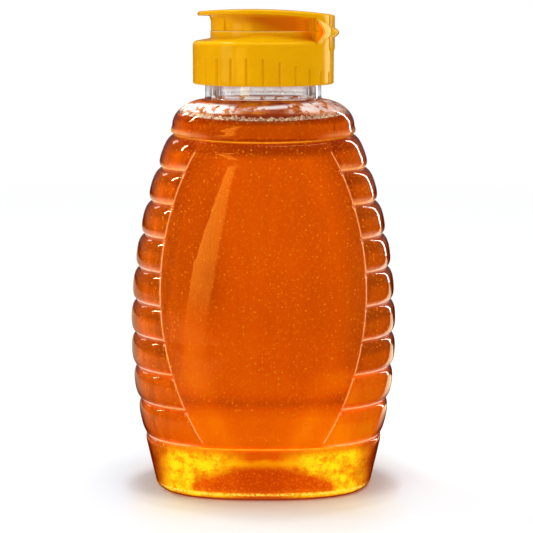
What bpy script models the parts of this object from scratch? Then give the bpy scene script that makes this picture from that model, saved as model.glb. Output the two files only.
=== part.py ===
"""Squeeze bottle of honey: a ribbed oval clear bottle with smooth front and back panels, the
honey in it, a gasket ring, and a yellow screw cap with a flip lid on a butterfly hinge.
Metres, +Z up, standing on z = 0. The hinge is at +X, the thumb lip at -X, the front at -Y."""

import math

import bmesh
import bpy
from mathutils import Vector

MM = 0.001
CLEARANCE = 0.3 * MM

# Bottle body, measured outside over the crests of the ribs
BODY_WIDTH = 79.9 * MM
BODY_DEPTH = 53.6 * MM
WIDEST_HEIGHT = 47.5 * MM
UPPER_SIDE_RADIUS = 155.4 * MM
LOWER_SIDE_RADIUS = 125.0 * MM
UPPER_FACE_RADIUS = 420.0 * MM
LOWER_FACE_RADIUS = 670.0 * MM
BODY_WALL = 0.75 * MM
MIDDLE_SQUARENESS = 2.15
BASE_SQUARENESS = 2.6

# Grooves round the body, and the bulge above the highest one
BASE_GROOVE_HEIGHT = 16.6 * MM
LOWEST_RIB_HEIGHT = 10.7 * MM
RIB_PITCH = 9.96 * MM
RIB_GROOVES = 9
GROOVE_DEPTH = 1.7 * MM
GROOVE_HALF_WIDTH = 1.6 * MM
GROOVE_EDGE_DEPTH = 0.1 * MM
SHOULDER_GROOVE_DIP = 1.2 * MM
DIP_REACH = 8.0 * MM
SHOULDER_START = 2.4 * MM
SHOULDER_RISE = 7.7 * MM

# Smooth label panel on the front and the back
PANEL_HALF_WIDTH = 29.9 * MM
PANEL_WIDEST_HEIGHT = 61.5 * MM
PANEL_UPPER_RADIUS = 88.0 * MM
PANEL_LOWER_RADIUS = 81.4 * MM
PANEL_TOP = 103.0 * MM
PANEL_BOTTOM = 18.0 * MM
PANEL_INSET = 0.3 * MM
PANEL_STEP_WIDTH = 1.1 * MM

# Base
BASE_TAPER = math.radians(12.4)
BASE_CORNER_RADIUS = 2.2 * MM
STANDING_RING_WIDTH = 3.0 * MM
PUSH_UP_HEIGHT = 4.5 * MM

# Neck finish and thread
NECK_WALL = 1.7 * MM
NECK_HEIGHT = 14.9 * MM
THREAD_PITCH = 4.233 * MM
THREAD_HEIGHT = 1.25 * MM
THREAD_ROOT_WIDTH = 2.2 * MM
THREAD_CREST_WIDTH = 0.9 * MM
THREAD_SINK = 0.4 * MM
NECK_THREAD_TURNS = 1.25
NECK_THREAD_TOP = 2.2 * MM
CAP_THREAD_FIRST_TURN = 0.2
CAP_THREAD_TURNS = 1.0
CAP_THREAD_BELOW = 1.75 * MM

# Honey
HEADSPACE = 4.1 * MM

# Gasket ring
GASKET_THICKNESS = 1.0 * MM
GASKET_OVERHANG = 1.3 * MM

# Screw cap
CAP_RADIUS = 20.85 * MM
CAP_WALL = 1.75 * MM
THREAD_SPACE = 1.9 * MM
CAP_SKIRT_LENGTH = 12.2 * MM
CAP_EDGE_RADIUS = 1.4 * MM
CAP_FOOT_CHAMFER = 0.55 * MM
DECK_RISE = 1.2 * MM
DECK_THICKNESS = 1.3 * MM
COLLAR_SET_BACK = 5.25 * MM
COLLAR_WALL = 1.3 * MM
COLLAR_HEIGHT = 0.8 * MM
PLUG_SEAL_LENGTH = 3.0 * MM
PLUG_SEAL_WALL = 1.0 * MM
SPOUT_BORE_RADIUS = 3.2 * MM
SPOUT_WALL = 1.7 * MM
SPOUT_HEIGHT = 2.9 * MM
KNURL_COUNT = 27
KNURL_PHASE = 0.25
KNURL_DEPTH = 0.35 * MM
KNURL_WIDTH = 0.7 * MM
KNURL_TOP_DROP = 3.4 * MM
KNURL_SLOPE = 4.6 * MM

# Flip lid
LID_STEM_HEIGHT = 3.8 * MM
LID_STEM_SET_BACK = 0.15 * MM
LID_STEM_WALL = 1.15 * MM
LID_PLATE_THICKNESS = 2.1 * MM
LID_PLATE_EDGE = 0.6 * MM
LID_LIP_SET_BACK = 1.45 * MM
PIN_CLEARANCE = 0.4 * MM
PIN_INSERTION = 1.2 * MM

# Butterfly hinge
HINGE_BLOCK_DEPTH = 6.85 * MM
HINGE_DROP = 0.6 * MM
HINGE_STANDOFF = 0.75 * MM
BAND_WIDTH = 11.0 * MM
BAND_HALF_HEIGHT = 1.55 * MM
BAND_BULGE = 1.1 * MM
BAND_THICKNESS = 0.5 * MM
WEB_WIDE_HALF_HEIGHT = 3.7 * MM
WEB_NARROW_HALF_HEIGHT = 0.9 * MM
WEB_FREE_ANGLE = math.radians(41.0)
WEB_WAIST_ANGLE = math.radians(36.0)
WEB_ROOT_ANGLE = math.radians(18.0)
WEB_THICKNESS = 0.5 * MM
WEB_SET_BACK = 0.45 * MM
WINDOW_DEPTH = 3.0 * MM

# How finely curves are divided
PANEL_COLUMNS = 3
SIDE_COLUMNS = 4
SHOULDER_ROWS = 5
ROUND_STEPS = 36
THREAD_STEPS_PER_TURN = 24

# Heights that follow from the sizes above
TOP_GROOVE_HEIGHT = BASE_GROOVE_HEIGHT + LOWEST_RIB_HEIGHT + (RIB_GROOVES - 1) * RIB_PITCH
SHOULDER_HEIGHT = TOP_GROOVE_HEIGHT + SHOULDER_START
NECK_BASE_HEIGHT = SHOULDER_HEIGHT + SHOULDER_RISE
NECK_TOP_HEIGHT = NECK_BASE_HEIGHT + NECK_HEIGHT
HONEY_HEIGHT = NECK_BASE_HEIGHT - HEADSPACE
CEILING_HEIGHT = NECK_TOP_HEIGHT + GASKET_THICKNESS + 2 * CLEARANCE
SKIRT_TOP_HEIGHT = CEILING_HEIGHT + CLEARANCE
SKIRT_FOOT_HEIGHT = SKIRT_TOP_HEIGHT - CAP_SKIRT_LENGTH
DECK_EDGE_HEIGHT = SKIRT_TOP_HEIGHT + CAP_EDGE_RADIUS
COLLAR_TOP_HEIGHT = DECK_EDGE_HEIGHT + DECK_RISE + COLLAR_HEIGHT
SPOUT_FLOOR_HEIGHT = CEILING_HEIGHT + DECK_THICKNESS + 2 * CLEARANCE
LID_FOOT_HEIGHT = COLLAR_TOP_HEIGHT + CLEARANCE
LID_PLATE_HEIGHT = LID_FOOT_HEIGHT + LID_STEM_HEIGHT
LID_TOP_HEIGHT = LID_PLATE_HEIGHT + LID_PLATE_THICKNESS
HINGE_HEIGHT = COLLAR_TOP_HEIGHT - HINGE_DROP

# Widths that follow from the cap: its thread fits round the neck, and the lid closes on its collar
HINGE_X = CAP_RADIUS + HINGE_STANDOFF
HINGE_BLOCK_START = CAP_RADIUS - HINGE_BLOCK_DEPTH
CAP_BORE_RADIUS = CAP_RADIUS - CAP_WALL
NECK_RADIUS = CAP_BORE_RADIUS - THREAD_SPACE
NECK_BORE_RADIUS = NECK_RADIUS - NECK_WALL
COLLAR_RADIUS = CAP_RADIUS - COLLAR_SET_BACK
LID_STEM_RADIUS = COLLAR_RADIUS - LID_STEM_SET_BACK
LID_LIP_REACH = CAP_RADIUS - LID_LIP_SET_BACK


def clear_scene():
    for thing in list(bpy.data.objects):
        bpy.data.objects.remove(thing, do_unlink=True)


def new_collection(name):
    collection = bpy.data.collections.new(name)
    bpy.context.scene.collection.children.link(collection)
    return collection


def plain_material(name, colour, roughness, transmission=0.0):
    material = bpy.data.materials.new(name)
    material.use_nodes = True
    shader = material.node_tree.nodes["Principled BSDF"]
    shader.inputs["Base Color"].default_value = (*colour, 1.0)
    shader.inputs["Roughness"].default_value = roughness
    shader.inputs["Metallic"].default_value = 0.0
    shader.inputs["Transmission Weight"].default_value = transmission
    material.diffuse_color = (*colour, 1.0)
    return material


def add_object(name, mesh, collection, material=None, origin=(0.0, 0.0, 0.0)):
    """Puts a mesh in the scene with its origin at the given point, leaving its shape in place."""
    thing = bpy.data.objects.new(name, mesh)
    collection.objects.link(thing)
    for vertex in mesh.vertices:
        vertex.co -= Vector(origin)
    thing.location = origin
    if material:
        mesh.materials.append(material)
    return thing


def shade_smooth(thing, sharp_degrees=35.0):
    thing.data.shade_smooth()
    thing.data.set_sharp_from_angle(angle=math.radians(sharp_degrees))


def add_helper(name, mesh, collection):
    """A mesh that only cuts or joins another one."""
    helper = add_object(name, mesh, collection)
    helper.hide_render = True
    helper.display_type = "WIRE"
    return helper


def add_boolean(thing, helper, operation):
    modifier = thing.modifiers.new(helper.name, "BOOLEAN")
    modifier.operation = operation
    modifier.object = helper
    modifier.solver = "EXACT"


def mesh_from_rings(name, rings, bottom=None, top=None):
    """Skins closed rings that run counter-clockwise seen from above, lowest ring first. A bottom
    or top point closes that end with a fan."""
    count = len(rings[0])
    points = [point for ring in rings for point in ring]
    faces = []
    for row in range(len(rings) - 1):
        for column in range(count):
            following = (column + 1) % count
            low, high = row * count, (row + 1) * count
            faces.append((low + column, low + following, high + following, high + column))
    if bottom is not None:
        points.append(bottom)
        centre = len(points) - 1
        faces += [((column + 1) % count, column, centre) for column in range(count)]
    if top is not None:
        points.append(top)
        centre = len(points) - 1
        last = (len(rings) - 1) * count
        faces += [(last + column, last + (column + 1) % count, centre) for column in range(count)]
    mesh = bpy.data.meshes.new(name)
    mesh.from_pydata(points, [], faces)
    return mesh


def turned_mesh(name, profile, collection, material=None, helper=False):
    """Turns a closed outline of (radius, height) points, listed down its outer side first."""
    mesh = bpy.data.meshes.new(name)
    count = len(profile)
    edges = [(index, (index + 1) % count) for index in range(count)]
    mesh.from_pydata([(radius, 0.0, height) for radius, height in profile], edges, [])
    add = add_helper if helper else add_object
    thing = add(name, mesh, collection)
    if material:
        mesh.materials.append(material)
    screw = thing.modifiers.new("turn", "SCREW")
    screw.steps = ROUND_STEPS
    screw.render_steps = ROUND_STEPS
    screw.use_merge_vertices = True
    screw.merge_threshold = 0.00001
    screw.use_smooth_shade = True
    return thing


def prism_mesh(name, outlines):
    """One solid for each (outline, direction): the outline swept along the direction."""
    mesh = bpy.data.meshes.new(name)
    work = bmesh.new()
    for outline, direction in outlines:
        corners = [work.verts.new(corner) for corner in outline]
        base = work.faces.new(corners)
        swept = bmesh.ops.extrude_face_region(work, geom=[base])
        moved = [item for item in swept["geom"] if isinstance(item, bmesh.types.BMVert)]
        bmesh.ops.translate(work, vec=Vector(direction), verts=moved)
    bmesh.ops.recalc_face_normals(work, faces=work.faces)
    work.to_mesh(mesh)
    work.free()
    return mesh


def arc_drop(distance, radius):
    """How far a circular arc has fallen from its crest at this distance along it."""
    reach = min(abs(distance), 0.99 * radius)
    return radius - math.sqrt(radius**2 - reach**2)


def body_section(height):
    """Half width, half depth and squareness of the body over the ribs, above the base groove."""
    above = height - WIDEST_HEIGHT
    side_radius = UPPER_SIDE_RADIUS if above > 0 else LOWER_SIDE_RADIUS
    face_radius = UPPER_FACE_RADIUS if above > 0 else LOWER_FACE_RADIUS
    half_width = BODY_WIDTH / 2 - arc_drop(above, side_radius)
    half_depth = BODY_DEPTH / 2 - arc_drop(above, face_radius)
    share = min(1.0, max(0.0, -above / (WIDEST_HEIGHT - BASE_GROOVE_HEIGHT)))
    squareness = MIDDLE_SQUARENESS + (BASE_SQUARENESS - MIDDLE_SQUARENESS) * share
    return half_width, half_depth, squareness


def base_section(height):
    """The plain tapered band below the base groove."""
    half_width, half_depth, squareness = body_section(BASE_GROOVE_HEIGHT)
    drawn_in = (BASE_GROOVE_HEIGHT - height) * math.tan(BASE_TAPER)
    return half_width - drawn_in, half_depth - drawn_in, squareness


def shoulder_section(turn):
    """The shoulder between the body, at turn 0, and the neck, at a quarter turn."""
    half_width, half_depth, squareness = body_section(SHOULDER_HEIGHT)
    out = math.cos(turn)
    height = SHOULDER_HEIGHT + SHOULDER_RISE * math.sin(turn)
    return (
        height,
        NECK_RADIUS + (half_width - NECK_RADIUS) * out,
        NECK_RADIUS + (half_depth - NECK_RADIUS) * out,
        2.0 + (squareness - 2.0) * out,
    )


def panel_half_width(height):
    """Half width of the label panel, whose two edges are circular arcs."""
    above = min(PANEL_TOP, max(PANEL_BOTTOM, height)) - PANEL_WIDEST_HEIGHT
    radius = PANEL_UPPER_RADIUS if above > 0 else PANEL_LOWER_RADIUS
    return PANEL_HALF_WIDTH - arc_drop(above, radius)


def column_turns(height, half_width, squareness):
    """Quarter of the section from the front's middle to the side. A column runs on each side of
    the step at the panel's edge."""
    clamped = min(PANEL_TOP, max(PANEL_BOTTOM, height))
    share = panel_half_width(height) / body_section(clamped)[0]
    step_share = share + PANEL_STEP_WIDTH / half_width
    edge = math.asin(min(0.98, share) ** (squareness / 2))
    outer_edge = math.asin(min(0.99, step_share) ** (squareness / 2))
    turns = [edge * index / PANEL_COLUMNS for index in range(PANEL_COLUMNS + 1)]
    for index in range(SIDE_COLUMNS + 1):
        turns.append(outer_edge + (math.pi / 2 - outer_edge) * index / SIDE_COLUMNS)
    return turns


def body_ring(height, half_width, half_depth, squareness, cut=0.0):
    """One closed ring of the body. cut is the groove's depth here: the panels are spared it."""
    turns = column_turns(height, half_width, squareness)
    on_panel = PANEL_BOTTOM < height < PANEL_TOP
    falling = max(0.0, 1.0 - abs(height - TOP_GROOVE_HEIGHT) / DIP_REACH)
    quarter = []
    for column, turn in enumerate(turns):
        inset = PANEL_INSET if on_panel and column <= PANEL_COLUMNS else cut
        across = (half_width - inset) * math.sin(turn) ** (2 / squareness)
        along = (half_depth - inset) * max(0.0, math.cos(turn)) ** (2 / squareness)
        dip = SHOULDER_GROOVE_DIP * falling * math.cos(turn) ** 2
        quarter.append((across, along, height - dip))
    ring = [(x, -y, z) for x, y, z in quarter]
    ring += [(x, y, z) for x, y, z in reversed(quarter[:-1])]
    ring += [(-x, y, z) for x, y, z in quarter[1:]]
    ring += [(-x, -y, z) for x, y, z in reversed(quarter[1:-1])]
    return ring


def base_rings():
    """The push-up, the standing ring, the rounded corner and the foot of the tapered band."""
    half_width, half_depth, squareness = base_section(0.0)
    inner = BASE_CORNER_RADIUS + STANDING_RING_WIDTH
    rings = []
    for share in (0.35, 0.7, 0.92):
        height = PUSH_UP_HEIGHT * (1.0 - share**2)
        wide, deep = (half_width - inner) * share, (half_depth - inner) * share
        rings.append(body_ring(height, wide, deep, squareness))
    for inset in (inner, BASE_CORNER_RADIUS):
        rings.append(body_ring(0.0, half_width - inset, half_depth - inset, squareness))
    for degrees in (50, 90):
        turn = math.radians(degrees)
        height = BASE_CORNER_RADIUS * (1.0 - math.cos(turn))
        wide, deep, squareness = base_section(height)
        inset = BASE_CORNER_RADIUS * (1.0 - math.sin(turn))
        rings.append(body_ring(height, wide - inset, deep - inset, squareness))
    return rings


def groove_heights():
    ribs = [BASE_GROOVE_HEIGHT + LOWEST_RIB_HEIGHT + RIB_PITCH * index for index in range(RIB_GROOVES)]
    return [BASE_GROOVE_HEIGHT] + ribs


def ribbed_rings():
    """Three rings for each groove: its lower edge, its bottom and its upper edge."""
    rings = []
    for groove in groove_heights():
        for height, cut in (
            (groove - GROOVE_HALF_WIDTH, GROOVE_EDGE_DEPTH),
            (groove, GROOVE_DEPTH),
            (groove + GROOVE_HALF_WIDTH, GROOVE_EDGE_DEPTH),
        ):
            section = base_section if height < BASE_GROOVE_HEIGHT else body_section
            rings.append(body_ring(height, *section(height), cut))
    return rings


def shoulder_rings(last_turn=math.pi / 2):
    rings = []
    for index in range(SHOULDER_ROWS + 1):
        rings.append(body_ring(*shoulder_section(last_turn * index / SHOULDER_ROWS)))
    return rings


def helix_mesh(name, wall_radius, outward, start_height, turns, first_turn=0.0):
    """A right-handed thread ridge that stands out of, or into, a round wall and fades at its ends."""
    steps = round(turns * THREAD_STEPS_PER_TURN)
    sections = []
    for step in range(steps + 1):
        turned = first_turn + turns * step / steps
        angle = 2 * math.pi * turned
        middle = start_height + THREAD_PITCH * turned
        fade = min(1.0, 0.15 + min(step, steps - step) / 3)
        root = wall_radius - outward * THREAD_SINK
        crest = wall_radius + outward * THREAD_HEIGHT * fade
        corners = [
            (root, middle - THREAD_ROOT_WIDTH / 2),
            (crest, middle - THREAD_CREST_WIDTH / 2),
            (crest, middle + THREAD_CREST_WIDTH / 2),
            (root, middle + THREAD_ROOT_WIDTH / 2),
        ]
        ring = [(r * math.cos(angle), r * math.sin(angle), z) for r, z in corners]
        sections.append(ring)
    mesh = bpy.data.meshes.new(name)
    work = bmesh.new()
    rows = [[work.verts.new(point) for point in ring] for ring in sections]
    for near, far in zip(rows, rows[1:]):
        for corner in range(4):
            following = (corner + 1) % 4
            work.faces.new((near[corner], near[following], far[following], far[corner]))
    work.faces.new(rows[0])
    work.faces.new(rows[-1])
    bmesh.ops.recalc_face_normals(work, faces=work.faces)
    work.to_mesh(mesh)
    work.free()
    return mesh


def neck_thread_start():
    return NECK_TOP_HEIGHT - NECK_THREAD_TOP - NECK_THREAD_TURNS * THREAD_PITCH


def make_bottle(parts, helpers):
    """Clear blow-moulded bottle: one open surface from the push-up to the mouth, thickened inward
    and thicker at the neck, with the thread ridge joined on."""
    rings = base_rings() + ribbed_rings() + shoulder_rings()
    neck_start = len(rings) - 1
    for height in (NECK_TOP_HEIGHT - CLEARANCE, NECK_TOP_HEIGHT):
        lip = NECK_RADIUS - (CLEARANCE if height == NECK_TOP_HEIGHT else 0.0)
        rings.append(body_ring(height, lip, lip, 2.0))
    mesh = mesh_from_rings("bottle", rings, bottom=(0.0, 0.0, PUSH_UP_HEIGHT))
    clear_plastic = plain_material("clear_plastic", (0.93, 0.95, 0.96), 0.05, 1.0)
    bottle = add_object("bottle", mesh, parts, clear_plastic)
    columns = len(rings[0])
    neck = bottle.vertex_groups.new(name="neck")
    neck.add(list(range(neck_start * columns, len(rings) * columns)), 1.0, "REPLACE")
    wall = bottle.modifiers.new("wall", "SOLIDIFY")
    wall.thickness = NECK_WALL
    wall.offset = -1.0
    wall.vertex_group = "neck"
    wall.thickness_vertex_group = BODY_WALL / NECK_WALL
    ridge = helix_mesh("neck_thread", NECK_RADIUS, 1.0, neck_thread_start(), NECK_THREAD_TURNS)
    add_boolean(bottle, add_helper("neck_thread", ridge, helpers), "UNION")
    shade_smooth(bottle)


def make_honey(parts):
    """The honey follows the inside of the wall: the same surface up to its level, drawn inward."""
    drawn_in = BODY_WALL + CLEARANCE
    level = (HONEY_HEIGHT + drawn_in - SHOULDER_HEIGHT) / SHOULDER_RISE
    rings = base_rings() + ribbed_rings() + shoulder_rings(math.asin(min(0.95, level)))
    top = (0.0, 0.0, HONEY_HEIGHT + drawn_in)
    mesh = mesh_from_rings("honey", rings, bottom=(0.0, 0.0, PUSH_UP_HEIGHT), top=top)
    honey = add_object("honey", mesh, parts, plain_material("honey", (0.83, 0.3, 0.01), 0.1, 0.6))
    fit = honey.modifiers.new("inside_the_wall", "DISPLACE")
    fit.direction = "NORMAL"
    fit.mid_level = 0.0
    fit.strength = -drawn_in
    shade_smooth(honey)


def make_gasket(parts):
    """Soft sealing ring held in the cap, between its ceiling and the bottle's rim."""
    foot = NECK_TOP_HEIGHT + CLEARANCE
    inner, outer = NECK_BORE_RADIUS, NECK_RADIUS + GASKET_OVERHANG
    profile = [
        (outer, foot + GASKET_THICKNESS),
        (outer, foot),
        (inner, foot),
        (inner, foot + GASKET_THICKNESS),
    ]
    turned_mesh("gasket_ring", profile, parts, plain_material("gasket_foam", (0.9, 0.9, 0.88), 0.8))


def cap_profile():
    """Half section of the screw cap: skirt, domed deck, collar, spout and plug seal."""
    edge = CAP_EDGE_RADIUS
    foot, ceiling = SKIRT_FOOT_HEIGHT, CEILING_HEIGHT
    chamfer = CAP_FOOT_CHAMFER
    collar_inner = COLLAR_RADIUS - COLLAR_WALL
    plug_outer = NECK_BORE_RADIUS - CLEARANCE
    plug_inner = plug_outer - PLUG_SEAL_WALL
    plug_foot = NECK_TOP_HEIGHT + CLEARANCE - PLUG_SEAL_LENGTH
    spout_outer = SPOUT_BORE_RADIUS + SPOUT_WALL
    floor = SPOUT_FLOOR_HEIGHT
    roof = floor - DECK_THICKNESS
    return [
        (COLLAR_RADIUS, COLLAR_TOP_HEIGHT),
        (COLLAR_RADIUS, COLLAR_TOP_HEIGHT - COLLAR_HEIGHT),
        (CAP_RADIUS - edge, DECK_EDGE_HEIGHT),
        (CAP_RADIUS - 0.3 * edge, DECK_EDGE_HEIGHT - 0.3 * edge),
        (CAP_RADIUS, SKIRT_TOP_HEIGHT),
        (CAP_RADIUS, foot + chamfer),
        (CAP_RADIUS - chamfer, foot),
        (CAP_BORE_RADIUS + CLEARANCE, foot),
        (CAP_BORE_RADIUS, foot + CLEARANCE),
        (CAP_BORE_RADIUS, ceiling),
        (plug_outer, ceiling),
        (plug_outer, plug_foot),
        (plug_inner, plug_foot),
        (plug_inner, roof),
        (SPOUT_BORE_RADIUS, roof),
        (SPOUT_BORE_RADIUS, floor + SPOUT_HEIGHT),
        (spout_outer - CLEARANCE, floor + SPOUT_HEIGHT),
        (spout_outer, floor),
        (collar_inner, floor),
        (collar_inner, COLLAR_TOP_HEIGHT),
    ]


def hinge_block_outline(height):
    """Outline of the part of the round that lies beyond the block's flat inner wall."""
    half_turn = math.acos(HINGE_BLOCK_START / CAP_RADIUS)
    segments = round(ROUND_STEPS * half_turn / math.pi)
    outline = []
    for index in range(segments + 1):
        angle = half_turn * (2 * index / segments - 1)
        outline.append((CAP_RADIUS * math.cos(angle), CAP_RADIUS * math.sin(angle), height))
    return outline


def web_window_outlines():
    """The wedge on each side of the hinge where the block stands back behind the web."""
    near = CAP_RADIUS * math.sin(WEB_ROOT_ANGLE)
    far = CAP_RADIUS
    slope = (WEB_WIDE_HALF_HEIGHT - WEB_NARROW_HALF_HEIGHT) / (
        CAP_RADIUS * (math.sin(WEB_FREE_ANGLE) - math.sin(WEB_ROOT_ANGLE))
    )
    outer_half = WEB_NARROW_HALF_HEIGHT + slope * (far - near)
    start = CAP_RADIUS * math.cos(WEB_FREE_ANGLE) - WINDOW_DEPTH
    outlines = []
    for side in (-1.0, 1.0):
        outline = [
            (start, side * near, HINGE_HEIGHT - WEB_NARROW_HALF_HEIGHT),
            (start, side * far, HINGE_HEIGHT - outer_half),
            (start, side * far, HINGE_HEIGHT + outer_half),
            (start, side * near, HINGE_HEIGHT + WEB_NARROW_HALF_HEIGHT),
        ]
        outlines.append((outline, (CAP_RADIUS, 0.0, 0.0)))
    return outlines


def knurl_outlines():
    """Narrow upright notches round the skirt. Their tops fall towards the hinge side."""
    outlines = []
    for index in range(KNURL_COUNT):
        angle = 2 * math.pi * (index + KNURL_PHASE) / KNURL_COUNT
        outward = Vector((math.cos(angle), math.sin(angle), 0.0))
        sideways = Vector((-math.sin(angle), math.cos(angle), 0.0))
        foot = outward * (CAP_RADIUS + KNURL_DEPTH) + Vector((0.0, 0.0, SKIRT_FOOT_HEIGHT - CLEARANCE))
        top = SKIRT_TOP_HEIGHT - KNURL_TOP_DROP - KNURL_SLOPE * max(0.0, math.cos(angle))
        outline = [
            foot + sideways * KNURL_WIDTH,
            foot - sideways * KNURL_WIDTH,
            foot - outward * 2 * KNURL_DEPTH,
        ]
        outlines.append((outline, (0.0, 0.0, top - foot.z)))
    return outlines


def make_cap(parts, helpers, yellow):
    """Screw cap, turned, with the lower half of the hinge block, the knurl and the inner thread."""
    cap = turned_mesh("cap", cap_profile(), parts, yellow)
    block_foot = DECK_EDGE_HEIGHT - CAP_EDGE_RADIUS
    block = prism_mesh(
        "cap_hinge_block",
        [(hinge_block_outline(block_foot), (0.0, 0.0, COLLAR_TOP_HEIGHT - block_foot))],
    )
    add_boolean(cap, add_helper("cap_hinge_block", block, helpers), "UNION")
    ridge_start = neck_thread_start() - CAP_THREAD_BELOW
    ridge = helix_mesh(
        "cap_thread", CAP_BORE_RADIUS, -1.0, ridge_start, CAP_THREAD_TURNS, CAP_THREAD_FIRST_TURN
    )
    add_boolean(cap, add_helper("cap_thread", ridge, helpers), "UNION")
    knurl = add_helper("knurl_notches", prism_mesh("knurl_notches", knurl_outlines()), helpers)
    add_boolean(cap, knurl, "DIFFERENCE")
    window = prism_mesh("cap_web_windows", web_window_outlines())
    add_boolean(cap, add_helper("cap_web_windows", window, helpers), "DIFFERENCE")


def make_lid(parts, helpers, yellow):
    """Flip lid: a round plate that overhangs as the thumb lip, a short stem ring, the sealing pin
    and the upper half of the hinge block. Its origin is on the hinge axis."""
    work = bmesh.new()
    plate_radius = (LID_LIP_REACH + CAP_RADIUS) / 2
    bmesh.ops.create_cone(
        work, cap_ends=True, segments=ROUND_STEPS, radius1=plate_radius, radius2=plate_radius,
        depth=LID_PLATE_THICKNESS,
    )
    middle = Vector((CAP_RADIUS - plate_radius, 0.0, LID_TOP_HEIGHT - LID_PLATE_THICKNESS / 2))
    bmesh.ops.translate(work, vec=middle, verts=work.verts)
    rims = [edge for edge in work.edges if abs(edge.verts[0].co.z - edge.verts[1].co.z) < CLEARANCE]
    rims = [edge for edge in rims if len(edge.link_faces) == 2]
    bmesh.ops.bevel(work, geom=rims, offset=LID_PLATE_EDGE, segments=2, profile=0.5, affect="EDGES")
    mesh = bpy.data.meshes.new("lid")
    work.to_mesh(mesh)
    work.free()
    lid = add_object("lid", mesh, parts, yellow, origin=(HINGE_X, 0.0, HINGE_HEIGHT))
    sunk = LID_PLATE_HEIGHT + LID_PLATE_THICKNESS / 2
    stem_inner = LID_STEM_RADIUS - LID_STEM_WALL
    stem_profile = [
        (LID_STEM_RADIUS, sunk),
        (LID_STEM_RADIUS, LID_FOOT_HEIGHT),
        (stem_inner, LID_FOOT_HEIGHT),
        (stem_inner, sunk),
    ]
    stem = turned_mesh("lid_stem", stem_profile, helpers, helper=True)
    add_boolean(lid, stem, "UNION")
    pin_radius = SPOUT_BORE_RADIUS - PIN_CLEARANCE
    pin_foot = SPOUT_FLOOR_HEIGHT + SPOUT_HEIGHT - PIN_INSERTION
    pin_profile = [
        (pin_radius, sunk),
        (pin_radius, pin_foot + CLEARANCE),
        (pin_radius - CLEARANCE, pin_foot),
        (0.0, pin_foot),
        (0.0, sunk),
    ]
    pin = turned_mesh("lid_pin", pin_profile, helpers, helper=True)
    add_boolean(lid, pin, "UNION")
    block = prism_mesh(
        "lid_hinge_block",
        [(hinge_block_outline(LID_FOOT_HEIGHT), (0.0, 0.0, sunk - LID_FOOT_HEIGHT))],
    )
    add_boolean(lid, add_helper("lid_hinge_block", block, helpers), "UNION")
    window = prism_mesh("lid_web_windows", web_window_outlines())
    add_boolean(lid, add_helper("lid_web_windows", window, helpers), "DIFFERENCE")
    shade_smooth(lid)


def sheet_mesh(name, rows):
    """An open surface through rows of points."""
    count = len(rows[0])
    faces = []
    for row in range(len(rows) - 1):
        for column in range(count - 1):
            low, high = row * count + column, (row + 1) * count + column
            faces.append((low, low + 1, high + 1, high))
    mesh = bpy.data.meshes.new(name)
    mesh.from_pydata([point for row in rows for point in row], [], faces)
    return mesh


def add_sheet(name, rows, thickness, parts, yellow):
    sheet = add_object(name, sheet_mesh(name, rows), parts, yellow, origin=(HINGE_X, 0.0, HINGE_HEIGHT))
    wall = sheet.modifiers.new("thickness", "SOLIDIFY")
    wall.thickness = thickness
    wall.offset = 0.0
    shade_smooth(sheet, 60.0)


def make_hinge(parts, yellow):
    """Living hinge: a curled band behind the parting line and a flared web on each side of it."""
    wall_x = CAP_RADIUS + CLEARANCE + BAND_THICKNESS / 2
    rows = []
    for index in range(9):
        turn = math.pi * (index / 8 - 0.5)
        x = wall_x + BAND_BULGE * math.cos(turn)
        z = HINGE_HEIGHT + BAND_HALF_HEIGHT * math.sin(turn)
        rows.append([(x, y, z) for y in (-BAND_WIDTH / 2, 0.0, BAND_WIDTH / 2)])
    add_sheet("hinge_band", rows, BAND_THICKNESS, parts, yellow)
    radius = CAP_RADIUS - WEB_SET_BACK
    gap = CLEARANCE + WEB_THICKNESS / 2
    for name, side in (("hinge_web_front", -1.0), ("hinge_web_rear", 1.0)):
        rows = []
        for row in range(7):
            level = 2 * row / 6 - 1
            waist = WEB_WAIST_ANGLE + (WEB_FREE_ANGLE - WEB_WAIST_ANGLE) * level**2
            line = []
            for column in range(5):
                share = column / 4
                angle = WEB_ROOT_ANGLE + (waist - WEB_ROOT_ANGLE) * share + CLEARANCE / radius
                spread = (math.sin(angle) - math.sin(WEB_ROOT_ANGLE)) / (
                    math.sin(WEB_FREE_ANGLE) - math.sin(WEB_ROOT_ANGLE)
                )
                rise = WEB_WIDE_HALF_HEIGHT - WEB_NARROW_HALF_HEIGHT
                half = WEB_NARROW_HALF_HEIGHT + rise * spread - gap
                place = (radius * math.cos(angle), side * radius * math.sin(angle))
                line.append((*place, HINGE_HEIGHT + half * level))
            rows.append(line)
        add_sheet(name, rows, WEB_THICKNESS, parts, yellow)


def build():
    clear_scene()
    parts = new_collection("honey_squeeze_jar")
    helpers = new_collection("cutters")
    yellow = plain_material("yellow_plastic", (0.9, 0.5, 0.0), 0.25)
    make_bottle(parts, helpers)
    make_honey(parts)
    make_gasket(parts)
    make_cap(parts, helpers, yellow)
    make_lid(parts, helpers, yellow)
    make_hinge(parts, yellow)


build()
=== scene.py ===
import math
import random

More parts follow.
